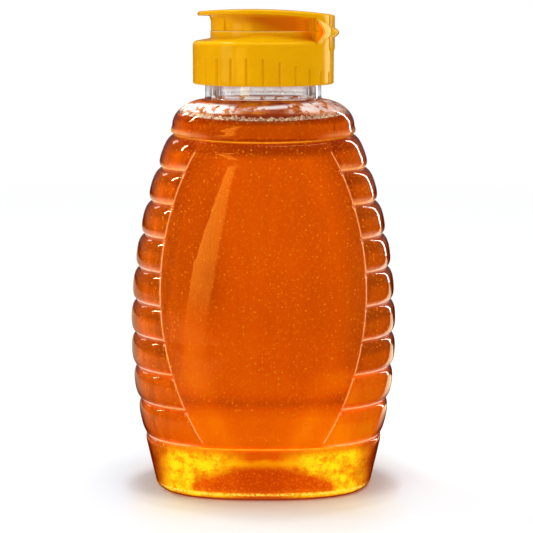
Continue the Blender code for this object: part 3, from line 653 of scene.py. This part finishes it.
# Foam. Small bubbles that have risen and cling together where the honey's surface meets the wall.
def pebbles(name, centres, radii, tones):
    """Many slightly uneven small balls in one mesh, each with a tone of its own."""
    ball = bmesh.new()
    bmesh.ops.create_icosphere(ball, subdivisions=2, radius=1.0)
    shape = np.array([tuple(vert.co) for vert in ball.verts])
    sides = np.array([[vert.index for vert in face.verts] for face in ball.faces])
    ball.free()
    chance = random.Random(4)
    points, faces = [], []
    for index, (centre, radius) in enumerate(zip(centres, radii)):
        stretch = [radius * chance.uniform(0.85, 1.15) for _ in range(3)]
        points.append(shape * stretch + centre)
        faces.append(sides + index * len(shape))
    thing = new_piece(name, np.concatenate(points), np.concatenate(faces).tolist())
    thing.data.shade_smooth()
    paint(thing, "tone", np.repeat(tones, len(shape)))
    return thing


BUBBLES = 1900
chance = random.Random(11)
shore = edge[:, :2]
steps = np.linalg.norm(np.roll(shore, -1, 0) - shore, axis=1)
along_shore = np.concatenate([[0.0], np.cumsum(steps)])
centres, radii, tones = [], [], []
for _ in range(BUBBLES):
    place = chance.uniform(0.0, along_shore[-1])
    index = min(int(np.searchsorted(along_shore, place, "right")) - 1, len(shore) - 1)
    share = (place - along_shore[index]) / max(steps[index], 1e-9)
    spot = shore[index] * (1 - share) + shore[(index + 1) % len(shore)] * share
    radius = chance.uniform(0.18, 0.46) * (1.25 if chance.random() < 0.15 else 1.0)
    inward = 1.0 - (radius + 0.15 + abs(chance.gauss(0.0, 0.9))) / np.linalg.norm(spot)
    lift = chance.gauss(0.0, 0.34) + 0.7 * (abs(spot[0]) / 36.0) ** 2.0
    inward -= 0.028 * max(0.0, lift)
    centres.append((spot[0] * inward, spot[1] * inward, honey_line(spot[0]) + 0.1 + lift))
    radii.append(radius)
    tones.append(chance.random())
foam = pebbles("foam_ring", centres, radii, tones)
foam_finish, entry, place = new_finish("honey_foam")
# The foam gives off part of its own colour as a painted glow.
skin = entry.painted("tone").tint((0.28, 0.05, 0.01), (1.0, 0.80, 0.52))
finish_with(entry, entry.surface(skin, place.noise(900.0, 2.0) * 0.2 + 0.05, 0.45, {
    "IOR": 1.5, "Coat Weight": 1.0, "Coat Roughness": 0.03,
}))
foam.data.materials.append(foam_finish)
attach(foam, "bottle_body")


# Gasket ring. Soft white foamed plastic, 1 mm thick, held under the cap's ceiling on the rim.
def standing(outline, turn):
    """Points of an outline of (radius, height) in the upright plane at this angle."""
    outline = np.array(outline)
    radius = outline[:, 0]
    return np.stack([radius * math.cos(turn), radius * math.sin(turn), outline[:, 1]], 1)


def wrapped(name, sections, ends=False):
    """A mesh through a ring of sections with as many points each. With ends, each section runs
    between two points on the axis, which all sections share. Otherwise it closes on itself."""
    grid = np.array(sections)
    turns, count = grid.shape[:2]
    faces = []
    for turn in range(turns):
        near, far = turn * count, (turn + 1) % turns * count
        for place in range(count - ends):
            after = (place + 1) % count
            faces.append((near + place, near + after, far + after, far + place))
    thing = new_piece(name, grid.reshape(-1, 3), faces)
    work = bmesh.new()
    work.from_mesh(thing.data)
    bmesh.ops.remove_doubles(work, verts=work.verts, dist=2e-6)
    bmesh.ops.dissolve_degenerate(work, edges=work.edges, dist=1e-6)
    bmesh.ops.recalc_face_normals(work, faces=work.faces)
    work.to_mesh(thing.data)
    work.free()
    thing.data.shade_smooth()
    thing.data.set_sharp_from_angle(angle=math.radians(38))
    return thing


rim = NECK_TOP + 0.3
gasket_outline = [
    (15.5, rim + 0.12), (15.62, rim), (18.38, rim), (18.5, rim + 0.12),
    (18.5, rim + 0.88), (18.38, rim + 1.0), (15.62, rim + 1.0), (15.5, rim + 0.88),
]
around = np.linspace(0.0, CIRCLE, 96, endpoint=False)
gasket = wrapped("gasket_disc", [standing(gasket_outline, turn) for turn in around])
foam_white, entry, place = new_finish("gasket_foam")
cells = place.cells(2600.0, "Distance")
shade = cells.ramp(0.0, 0.7).tint((0.88, 0.87, 0.83), (0.96, 0.95, 0.92))
finish_with(entry, entry.surface(shade, cells * 0.15 + 0.6, 0.0, {
    "Normal": cells.bump(0.3, 0.0001),
}))
gasket.data.materials.append(foam_white)
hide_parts("gasket_ring")
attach(gasket, "gasket_body")


# Screw cap. One polypropylene moulding with the lid: a skirt with 27 narrow upright notches, a
# domed deck, a collar round the spout, a plug seal, the thread inside and half the hinge block.
CAP_RADIUS, CAP_BORE, SKIRT_FOOT, SKIRT_TOP, CEILING = 20.85, 19.1, 121.68, 133.0, 133.58
COLLAR_RADIUS, COLLAR_TOP, SEAL_ROOT, SPOUT_FLOOR, SPOUT_TOP = 15.6, 137.28, 134.18, 135.48, 138.38
HINGE_HEIGHT, LID_FOOT, LID_PLATE, LID_TOP = 136.68, 137.31, 141.38, 143.48
BLOCK_END, WEB_START, PAD_END, WALL_START = map(math.radians, (42.4, 15.0, 22.4, 27.9))
SET_BACK, DECK_EDGE, EDGE_ROUND, THREAD_SHIFT = 1.35, 19.45, 1.4, 1.75
NOTCHES, CAP_TOP_ROWS = 27, 40
NOTCH_STEP = CIRCLE / NOTCHES


def both_ways(angles):
    return [side * angle for angle in angles for side in (-1, 1)]


def angles_near(directions, offsets):
    """Each of these directions with each of these offsets, within one turn."""
    return [(direction + offset) % CIRCLE for direction in directions for offset in offsets]


notch_middles = [NOTCH_STEP * (index + 0.25) for index in range(NOTCHES)]
notch_offsets = map(math.radians, (0.0, 0.3, 0.6, 0.95, 1.4, 2.4, 3.8, 5.3, 6.66))
block_edges = both_ways((WEB_START, PAD_END, WALL_START, BLOCK_END))
turns = angles_near(notch_middles, both_ways(notch_offsets))
turns += angles_near(block_edges, (-0.004, 0.0, 0.004))
cap_turns = sorted({round(turn, 5) for turn in turns})


def from_hinge(turn):
    """The angle between this direction and the hinge's, from 0 to pi."""
    return abs((turn + math.pi) % CIRCLE - math.pi)


def block_wall(turn):
    """Radius of the hinge block's inner wall in this direction."""
    away = from_hinge(turn)
    lean = 1.5 / 7.3
    return (13.8 - 6.9 * lean) / (math.cos(away) - lean * math.sin(away))


def web_half(turn):
    """Half the height of the hinge's film in this direction: narrow behind, flared at its ends."""
    return 1.15 + 2.65 * rise(from_hinge(turn), math.radians(12.0), math.radians(43.0)) ** 1.5


def web_reach(turn):
    """Half the height of the window that the film closes."""
    return web_half(turn) - 0.3


def deck_height(radius, turn):
    """Height of the cap's top: a rounded edge that runs into a dome, with a crown at the front
    and at the back."""
    drop = np.clip(radius - DECK_EDGE, 0.0, EDGE_ROUND)
    corner = SKIRT_TOP + np.sqrt(np.maximum(EDGE_ROUND**2 - drop**2, 0.0))
    crown = math.exp(-((math.cos(turn) / 0.48) ** 2))
    inward = rise(radius, DECK_EDGE, COLLAR_RADIUS)
    return corner + 0.65 * inward + 1.45 * crown * (1.0 - (1.0 - inward) ** 2.2)


def outer_radius(turn):
    """Radius of the skirt and of both blocks, with the raised pad behind the hinge."""
    return CAP_RADIUS + 0.28 * float(from_hinge(turn) <= PAD_END + 0.002)


def corner_rows(radius, height, along, up):
    """A rounded corner at this radius and height, from up it to along it."""
    middle = (radius + 0.3 * along, height + 0.3 * up)
    return [(radius, height + up), middle, (radius + along, height)]


def padded(rows, count):
    """The rows with the last repeated, so that every section has as many points."""
    assert len(rows) <= count, len(rows)
    return rows + [rows[-1]] * (count - len(rows))


def notch_depth(turn, height):
    middle = NOTCH_STEP * (round(turn / NOTCH_STEP - 0.25) + 0.25)
    away = abs(turn - middle) * CAP_RADIUS
    top = SKIRT_TOP - 3.3 - 4.6 * max(0.0, math.cos(middle))
    fade = min(1.0, max(0.0, (top - height) / 0.45))
    pillow = 0.05 * (1.0 - min(1.0, away / 2.4)) ** 2
    return (0.42 * max(0.0, 1.0 - away / 0.5) + pillow) * fade


def skirt_side(turn):
    rows = [(CAP_RADIUS - 0.75, SKIRT_FOOT), (CAP_RADIUS - 0.42, SKIRT_FOOT + 0.02)]
    rows += [(CAP_RADIUS - 0.18, SKIRT_FOOT + 0.12), (CAP_RADIUS - 0.05, SKIRT_FOOT + 0.3)]
    for height in np.concatenate([np.linspace(122.1, 125.4, 5), np.linspace(125.6, 131.2, 38)]):
        rows.append((CAP_RADIUS, height))
    rows = [(radius - notch_depth(turn, height), height) for radius, height in rows]
    lift = outer_radius(turn) - CAP_RADIUS
    raised = ((0.3, 131.6), (1.0, 132.0), (1.0, 132.8))
    return rows + [(CAP_RADIUS + lift * share, height) for share, height in raised]


def deck_rows(start, turn):
    """From this radius inward over the deck and up the collar's side."""
    corner = DECK_EDGE + EDGE_ROUND * np.cos(np.linspace(0.0, 1.35, 10))
    radii = np.minimum(np.concatenate([corner, np.linspace(19.3, 15.9, 9)]), start)
    rows = [(float(radius), float(deck_height(radius, turn))) for radius in radii]
    foot = float(deck_height(15.7, turn))
    rows += [(15.7, foot + 0.03), (15.62, foot + 0.15), (COLLAR_RADIUS, max(foot + 0.3, 136.6))]
    return rows + [(COLLAR_RADIUS, 137.08), (15.5, 137.24)]


def inner_deck_start(wall):
    return wall - min(0.12, (wall - COLLAR_RADIUS) / 2)


def cap_top(turn):
    """From the top of the skirt over the deck, or over the block, to the collar's top. Both have
    as many rows before the deck, so that the block's end is a plane."""
    wall, outer = block_wall(turn), outer_radius(turn)
    if from_hinge(turn) > BLOCK_END + 0.002:
        rows = deck_rows(CAP_RADIUS, turn)
        return padded([rows[0]] * 15 + rows, CAP_TOP_ROWS)
    inner = outer
    if from_hinge(turn) >= WEB_START - 0.002:
        inner = max(outer - SET_BACK, wall + 0.02)
        low = max(133.3, HINGE_HEIGHT + 0.3 - web_reach(turn))
        rows = [(outer, min(low - 0.3, SKIRT_TOP)), (outer, low - 0.3), (outer - 0.08, low - 0.08)]
        rows += [(outer - 0.3, low), (inner + 0.3, low), (inner + 0.06, low + 0.06)]
        rows += [(inner, low + 0.3)]
    else:
        rows = [(outer, height) for height in (133.6, 134.2, 134.8, 135.3, 135.8, 136.2, 136.5)]
    edge = min(0.25, (inner - wall) * 0.4)
    rows += corner_rows(inner, COLLAR_TOP, -edge, -edge)
    rows += [((inner + max(wall, COLLAR_RADIUS)) / 2, COLLAR_TOP)]
    if from_hinge(turn) > WALL_START + 0.002:
        rows += corner_rows(wall, COLLAR_TOP, edge, -edge)[::-1]
        rows += [(wall, float(deck_height(wall, turn)) + 0.15)]
        rows += deck_rows(inner_deck_start(wall), turn)
    return padded(rows, CAP_TOP_ROWS)


def cap_inside():
    """The collar's inner edge, the spout, the plug seal and the ceiling, out to the bore."""
    return [
        (15.2, COLLAR_TOP), (14.5, COLLAR_TOP), (14.34, 137.2), (14.3, 137.0), (14.3, 135.8),
        (14.2, 135.56), (14.0, SPOUT_FLOOR), (11.0, SPOUT_FLOOR), (8.0, SPOUT_FLOOR),
        (5.3, SPOUT_FLOOR), (5.05, 135.56), (4.95, 135.8), (4.85, 136.8), (4.75, 138.05),
        (4.65, 138.28), (4.4, SPOUT_TOP), (3.6, SPOUT_TOP), (3.32, 138.3), (3.2, 138.1),
        (3.2, 136.0), (3.2, 134.3), (3.35, SEAL_ROOT), (8.0, SEAL_ROOT), (13.9, SEAL_ROOT),
        (14.2, 133.9), (14.2, 129.6), (14.3, 129.35), (14.5, 129.28), (14.85, 129.28),
        (15.1, 129.4), (15.2, 129.7), (15.2, 133.4), (15.35, CEILING), (17.5, CEILING),
        (19.0, CEILING), (CAP_BORE, 133.4),
    ]


def bore_side(turn):
    heights = np.linspace(129.4, 122.4, 42)
    wall = standing([(1.0, height) for height in heights], turn)
    ridge = thread_height(wall, THREAD_START - THREAD_SHIFT, 0.2, 1.2)
    rows = [(CAP_BORE, 132.2), *zip(CAP_BORE - ridge, heights)]
    return rows + [(CAP_BORE, 122.1), (CAP_BORE + 0.1, 121.8), (CAP_BORE + 0.35, SKIRT_FOOT)]


def cap_section(turn):
    outline = skirt_side(turn) + cap_top(turn) + cap_inside() + bore_side(turn)
    return standing(outline, turn)


screw_cap = wrapped("screw_cap", [cap_section(turn) for turn in cap_turns])

yellow_plastic, entry, place = new_finish("yellow_plastic")
across, level = place.part(0) / MM, place.part(2) / MM
radius = place.vector("MULTIPLY", (1.0, 1.0, 0.0)).length() / MM
flow, grain = place.noise(160.0, 3.0), place.noise(2200.0, 2.0)
tone = (flow * 0.5 + grain * 0.1).ramp(0.15, 0.45)
# Painted light and shade: a lighter hinge film, deck top, recess and collar where light falls, a
# painted shadow under the lid's plate, and a lit edge on the collar.
recess = level.between(134.6, 137.0, 141.0, 142.4) * radius.ramp(19.6, 17.6)
lit_deck = level.between(133.4, 134.2, 136.6, 137.0) * radius.ramp(15.7, 16.0)
plate_shadow = recess * level.ramp(137.2, 137.6) * across.ramp(13.0, 9.0)
plate_shadow = plate_shadow * (across + (level - 140.2) * 2.5).ramp(-11.0, 0.0)
lit_collar = recess * level.ramp(137.2, 136.9) * across.ramp(-10.0, -2.0)
lit_edge = level.between(136.96, 137.06, 137.29, 137.34) * radius.between(15.3, 15.4, 15.64, 15.72)
yellow = tone.tint((0.80, 0.36, 0.0007), (0.86, 0.41, 0.0008))
for share, colour in (
    (entry.painted("thin") * 0.85, (1.0, 0.62, 0.10)),
    (lit_deck * across.ramp(15.0, 10.0) * 0.8, (0.96, 0.56, 0.003)),
    (recess * across.ramp(2.0, -6.0) * 0.8, (0.96, 0.50, 0.003)),
    (plate_shadow * 0.95, (0.60, 0.12, 0.0004)),
    (lit_collar * 0.8, (1.0, 0.50, 0.003)),
    (lit_edge * 0.9, (1.0, 0.72, 0.18)),
):
    yellow = share.tint(yellow, colour)
# Painted glow: the recess, the crevice and the space behind the hinge's film give off orange
# light, as light through the plastic would.
behind_film = level.between(133.2, 134.4, 140.6, 141.6) * radius.ramp(20.72, 20.5)
glowing = recess * across.between(-2.0, 10.0, 12.2, 13.4) * 0.9
glowing = glowing * (level.ramp(136.6, 137.4) * 0.75 + 0.25)
glowing = glowing.math("MAXIMUM", behind_film * across.ramp(15.4, 16.4) * 1.5)
crevice = recess * across.between(12.4, 13.4, 15.2, 16.2)
shine = (glowing * 0.20).tint((0.0, 0.0, 0.0), (1.0, 0.25, 0.0))
shine = (crevice * 0.14).tint(shine, (1.0, 0.46, 0.0))
finish_with(entry, entry.surface(yellow, flow * 0.06 + 0.11, 0.0, {
    "IOR": 1.49, "Specular IOR Level": 0.22, "Specular Tint": (1.0, 0.80, 0.35, 1.0),
    "Emission Color": shine, "Emission Strength": 1.0, "Normal": grain.bump(0.04, 0.0001),
}))
screw_cap.data.materials.append(yellow_plastic)
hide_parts("cap")
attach(screw_cap, "cap_body")


# Flip lid, of the same moulding: a plate that falls a little towards the hinge and overhangs as
# the thumb lip, a short stem ring that closes on the collar, the sealing pin and half the block.
LID_EDGE, LIP_EDGE, LID_SIDE_ROWS = 0.62, 0.55, 24
LIP_END = math.radians(137)


def lid_top(x):
    """Height of the lid's top across it, highest a little nearer the lip than the middle."""
    away = (x + 4.0) / (25.0 if x > -4.0 else 15.4)
    return LID_TOP - 0.05 - (1.6 if x > -4.0 else 0.62) * away**2


def ceiling_rows(start, foot):
    """From this radius inward under the plate and down the fillet of the stem ring."""
    rows = [(start + (16.25 - start) * share, foot) for share in np.linspace(0.1, 1.0, 4)]
    for turn in np.radians(np.linspace(12, 84, 7)):
        rows.append((15.75 + 0.5 * (1 - math.sin(turn)), foot - 0.5 * (1 - math.cos(turn))))
    return [(min(radius, start), height) for radius, height in rows]


def block_side(turn, outer, foot):
    """Down the outside of the lid's half of the hinge block, under it and up its inner wall."""
    away, wall = from_hinge(turn), block_wall(turn)
    if away >= WEB_START - 0.002:
        high = min(140.8, HINGE_HEIGHT + 0.3 + web_reach(turn))
        inner = max(outer - SET_BACK, wall + 0.02)
        rows = [(outer, high + 0.3), (outer - 0.08, high + 0.08), (outer - 0.3, high)]
        rows += [(inner + 0.3, high), (inner + 0.06, high - 0.06), (inner, high - 0.3)]
    else:
        inner = outer
        rows = [(outer, height) for height in (138.8, 138.58, 138.4, 138.3, 138.2, 138.0)]
    edge = min(0.25, (inner - wall) * 0.4)
    rows += corner_rows(inner, LID_FOOT, -edge, edge)
    if away <= WALL_START + 0.002:
        return rows + [(15.8, LID_FOOT)]
    rows += corner_rows(wall, LID_FOOT, edge, edge)[::-1]
    return rows + [(wall, foot - 0.15)] + ceiling_rows(inner_deck_start(wall), foot)


def lid_section(turn):
    away, outward_x = from_hinge(turn), math.cos(turn)
    blocked = away <= BLOCK_END + 0.002
    plate = 0.725 * outward_x + math.sqrt(20.125**2 - (0.725 * math.sin(turn)) ** 2)
    near = max(0.0, 1.0 - (away - BLOCK_END) / 0.3)
    outer = outer_radius(turn) if blocked else plate + (CAP_RADIUS - plate) * near
    rim_top = lid_top(outer * outward_x)
    foot = rim_top - 1.25 - 0.35 * max(0.0, outward_x)
    rows = [(0.0, lid_top(0.0))]
    for radius in (2.0, 4.0, 7.0, 10.0, 13.0, 15.5, 17.5, outer - 1.6, outer - 1.0):
        rows.append((radius, lid_top(radius * outward_x)))
    angles = np.radians(np.linspace(15, 90, 6))
    bends = [(1 - math.cos(angle), 1 - math.sin(angle)) for angle in angles]
    rows += [(outer - LID_EDGE * still, rim_top - LID_EDGE * gone) for gone, still in bends]
    if blocked:
        side = block_side(turn, outer, foot)
    else:
        side = [(outer - LIP_EDGE * gone, foot + LIP_EDGE * still) for gone, still in bends]
        side = padded(side, 13) + ceiling_rows(outer - 0.6, foot)
    rows += padded(side, LID_SIDE_ROWS)
    stem = 14.95 if away < LIP_END else 15.45
    stem_rows = [(stem, height) for height in (139.9, 139.4, 138.2, 137.5, LID_FOOT + 0.02)]
    rows += stem_rows if away > WALL_START + 0.002 else [stem_rows[-1]] * 5
    rows += [(stem - 0.02, LID_FOOT), (14.4, LID_FOOT), (14.26, 137.5), (14.2, 137.9)]
    rows += [(14.2, 141.2), (14.1, LID_PLATE), (9.0, LID_PLATE), (4.0, LID_PLATE)]
    rows += [(3.1, LID_PLATE), (2.8, 141.1), (2.8, 139.0), (2.8, 137.5), (2.7, 137.3)]
    return standing(rows + [(2.45, 137.18), (0.0, 137.18)], turn)


lid_turns = sorted(cap_turns + angles_near(both_ways((LIP_END,)), (-0.004, 0.004)))
flip_lid = wrapped("flip_lid", [lid_section(turn) for turn in lid_turns], ends=True)
flip_lid.data.materials.append(yellow_plastic)
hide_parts("lid")
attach(flip_lid, "lid_body")


# Living hinge: a thin film curled behind the parting line, and on each side of it a flared web
# that stretches as the lid opens, so that it snaps. All are one moulding with the cap and the lid.
def film(name, rows, thickness):
    """A sheet through rows of points, thickened about its middle, with rounded free edges."""
    count = len(rows[0])
    faces = []
    for row in range(len(rows) - 1):
        for column in range(count - 1):
            low, high = row * count + column, (row + 1) * count + column
            faces.append((low, low + 1, high + 1, high))
    thing = new_piece(name, np.concatenate(rows), faces)
    wall = thing.modifiers.new("wall", "SOLIDIFY")
    wall.thickness = thickness * MM
    wall.offset = 0.0
    round_edge = thing.modifiers.new("round_edge", "BEVEL")
    round_edge.width = 0.2 * MM
    round_edge.segments = 3
    round_edge.limit_method = "ANGLE"
    graph = bpy.context.evaluated_depsgraph_get()
    made = bpy.data.meshes.new_from_object(thing.evaluated_get(graph))
    thing.modifiers.clear()
    thing.data = made
    made.shade_smooth()
    return thing


FILM_END, FILM_FLARE = 32.5, 8.0
rows = []
for level in np.linspace(-1.0, 1.0, 33):
    reach = math.radians(FILM_END + FILM_FLARE * level**2)
    line = []
    for turn in np.linspace(-1.0, 1.0, 57) * reach:
        away = abs(turn)
        curl = eased(rise(away, math.radians(22.0), math.radians(13.0)))
        radius = outer_radius(turn) if away < math.radians(20) else CAP_RADIUS
        radius += -0.3 + (0.3 + 0.95 * curl) * math.cos(level * QUARTER) ** 0.8
        height = HINGE_HEIGHT + 0.3 * (1 - curl) + web_half(turn) * level
        line.append((radius * math.cos(turn), radius * math.sin(turn), height))
    rows.append(line)
hinge = film("butterfly_hinge", rows, 0.62)
places = np.array([tuple(vert.co) for vert in hinge.data.vertices]) / MM
turned = np.degrees(np.abs(np.arctan2(places[:, 1], places[:, 0])))
free_edge = FILM_END + FILM_FLARE * ((places[:, 2] - HINGE_HEIGHT - 0.3) / 3.5) ** 2
# Painted highlight: the film is lighter, and lightest along its free edges.
paint(hinge, "thin", 0.3 + 0.7 * rise(free_edge - turned, 3.1, 0.6))
hinge.data.materials.clear()
hinge.data.materials.append(yellow_plastic)
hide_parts("hinge_band", "hinge_web_front", "hinge_web_rear")
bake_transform(hinge)


# Studio. A white paper table under a white backdrop, a window-shaped light that only mirrored
# rays meet, small lamps that light the bottle or its closure alone, three above, and the camera.
WHITE_LIGHT, WINDOW_LIGHT, LAMP_LIGHT = (1.0, 1.0, 1.0), (1.0, 0.75, 0.2), (1.0, 0.80, 0.52)
WINDOW_GLARE = 7.0
RAYS = ("Is Camera Ray", "Is Transmission Ray", "Is Glossy Ray")
table = [(-6000, -6000, 0), (6000, -6000, 0), (6000, 6000, 0), (-6000, 6000, 0)]
floor = new_piece("floor", table, [(0, 1, 2, 3)])
paper, entry, place = new_finish("studio_paper")
seen, through, mirrored = map(entry.ray, RAYS)
reflected = mirrored * (1.0 - through)
x, y = place.part(0), place.part(1)
path = abs(x * 0.672 - y * 0.741).ramp(0.045, 0.030) * x.between(0.06, 0.10, 0.5, 0.7)
card = x.between(-0.46, -0.34, -0.12, -0.06) * y.between(-0.27, -0.24, 0.5, 0.9)
slant = (x + 0.048) / y
streak = slant.between(0.455, 0.495, 0.95, 0.98) * (slant.ramp(0.475, 0.965) * 0.4 + 0.6)
streak = streak * (y.ramp(-0.12, -0.62) * 0.75 + y.ramp(-0.75, -3.0) * 0.25)
beside = abs(x)
# Painted light and shade on the paper near the bottle: a warm tint before it for the honey's
# coloured light, a cool tint at its sides, a painted contact shadow close by and a wide painted
# shadow behind.
at_side = x.ramp(-0.03, 0.03).tint((0.64, 0.685, 0.725), (0.70, 0.735, 0.755))
before = y.ramp(-0.027, -0.042).tint((0.70, 0.645, 0.51), (0.665, 0.685, 0.655))
before = y.ramp(0.0, 0.03).tint(before, at_side)
contact_shadow = place.vector("MULTIPLY", (26.5, 39.0, 0.0)).length().ramp(1.16, 0.98)
contact_shadow = contact_shadow * beside.ramp(0.018, 0.034)
wide = place.vector("MULTIPLY_ADD", (26.5, 30.0, 0.0), (0.0, -0.36, 0.0)).length()
wide = wide.ramp(1.6, 0.9) ** 1.5 * y.ramp(-0.012, 0.018) * (x.ramp(-0.03, 0.03) * 0.5 + 0.5)
shade = beside.ramp(0.024, 0.042).tint(before, at_side)
for share, colour in (
    (beside.ramp(0.045, 0.08), (0.67, 0.68, 0.68)), (contact_shadow * 0.4, (0.30, 0.27, 0.25)),
    (wide * 0.54, (0.30, 0.30, 0.30)), (mirrored, (0.0, 0.0, 0.0)),
):
    shade = share.tint(shade, colour)
diffuse = entry.node("BsdfDiffuse", None, {"Color": shade})
lit_colour = streak.ramp(0.0, 0.2).tint(LAMP_LIGHT, WINDOW_LIGHT)
white = entry.node("Emission", None, {
    "Color": reflected.tint(WHITE_LIGHT, lit_colour),
    "Strength": 1.0 - reflected
    + reflected * (card * 0.9 + path * 3.0 + streak * WINDOW_GLARE),
})
far = place.length().ramp(0.15, 0.9)
share = (seen.math("MAXIMUM", through) * (0.05 + far * 0.95)).math("MAXIMUM", reflected)
finish_with(entry, entry.layered(share, diffuse, white))
floor.data.materials.append(paper)

scene = bpy.context.scene
world = bpy.data.worlds.new("studio")
scene.world = world
world.use_nodes = True
world.node_tree.nodes.clear()
entry = Socket(world.node_tree)
seen, through, mirrored = map(entry.ray, RAYS)
way = entry.node("TexCoord", None, None, "Generated")
x, y, z = way.part(0), way.part(1), way.part(2)
room = 0.02 + z.ramp(0.5, 0.8) * 0.10 + y.ramp(0.3, 0.8) * 0.10
edges = 1.0 - abs(x).ramp(0.30, 0.65) * 0.9
open_sky = 0.42 + z.ramp(0.1, 0.9) * 0.9
plain = seen + (1.0 - seen) * (edges * through + open_sky * (1.0 - through))
slant = x / y
left_edge = (0.905 - z * 2.3).math("MAXIMUM", 0.515)
right_edge = 0.475 - z * (z * 2.0 + 0.45)
window = (slant - right_edge).ramp(-0.02, 0.02) * (left_edge - slant).ramp(-0.015, 0.015)
window = window * z.between(-0.05, -0.03, 0.185, 0.21) * y.ramp(-0.3, -0.5)
window = window * (((slant - right_edge) / (left_edge - right_edge)) * 0.4 + 0.6)
background = entry.node("Background", None, {
    "Color": (window.ramp(0.0, 0.2) * mirrored).tint(WHITE_LIGHT, WINDOW_LIGHT),
    "Strength": plain * (1.0 - mirrored) + (room + window * WINDOW_GLARE) * mirrored,
})
output = world.node_tree.nodes.new("ShaderNodeOutputWorld")
world.node_tree.links.new(background.out, output.inputs["Surface"])


def soft_box(name, at, size, radiance, colour=WHITE_LIGHT, only=None):
    """A rectangular lamp of that brightness, as seen in a mirror, turned to the bottle. With
    only, nothing but those objects shows its light."""
    lamp = bpy.data.lights.new(name, "AREA")
    lamp.shape = "RECTANGLE"
    lamp.size, lamp.size_y = size
    lamp.color = colour
    lamp.energy = radiance * math.pi * size[0] * size[1]
    box = bpy.data.objects.new(name, lamp)
    box.location = at
    towards = Vector((0, 0, 0.07)) - Vector(at)
    box.rotation_euler = towards.to_track_quat("-Z", "Y").to_euler()
    scene.collection.objects.link(box)
    if only:
        lit = bpy.data.collections.new("lit_by_" + name)
        for thing in only:
            lit.objects.link(thing)
        box.light_linking.receiver_collection = lit
    return box


closure = (screw_cap, flip_lid, hinge)
soft_box("back_left", (-0.75, 0.70, 0.60), (0.16, 0.2), 5.0, only=(bottle,))
soft_box("left", (-0.80, 0.40, 0.10), (0.5, 0.18), 0.2, (1.0, 0.72, 0.35), only=(bottle,))
soft_box("glint", (-0.42, 0.25, 1.0), (0.11, 0.08), 260.0, only=(bottle,))
soft_box("glint_low", (-0.84, 0.09, 0.54), (0.06, 0.26), 45.0, only=(bottle,))
strip = soft_box("strip_right", (0.54, 0.49, 0.3), (0.06, 0.6), 15.0, only=(bottle,))
strip.visible_transmission = False
soft_box("cap_left", (-0.80, -0.45, 0.30), (0.35, 0.5), 2.6, (1.0, 0.97, 0.9), only=closure)
soft_box("cap_right", (0.66, 0.50, 0.16), (0.30, 0.4), 3.6, (1.0, 0.90, 0.55), only=closure)
soft_box("top_left", (-0.42, 0.25, 1.0), (0.28, 0.16), 16.0)
soft_box("top_small", (0.0, 0.12, 1.1), (0.045, 0.045), 260.0)
soft_box("top", (0.1, 0.1, 1.0), (0.8, 0.7), 2.35)

FOCAL_PIXELS, PHOTO_PIXELS, LOOKS_DOWN = 1678.0, 533.0, 9.01
lens = bpy.data.cameras.new("camera")
lens.sensor_width = 36.0
lens.lens = FOCAL_PIXELS / PHOTO_PIXELS * lens.sensor_width
lens.clip_start = 0.01
camera = bpy.data.objects.new("camera", lens)
camera.location = (0.00095, -0.5, 0.146)
camera.rotation_euler = (math.radians(90 - LOOKS_DOWN), 0.0, 0.0)
scene.collection.objects.link(camera)
scene.camera = camera
scene.view_settings.view_transform = "Standard"
scene.cycles.max_bounces = 24
scene.cycles.transmission_bounces = 24
scene.cycles.glossy_bounces = 8
scene.cycles.transparent_max_bounces = 24
scene.cycles.use_denoising = True
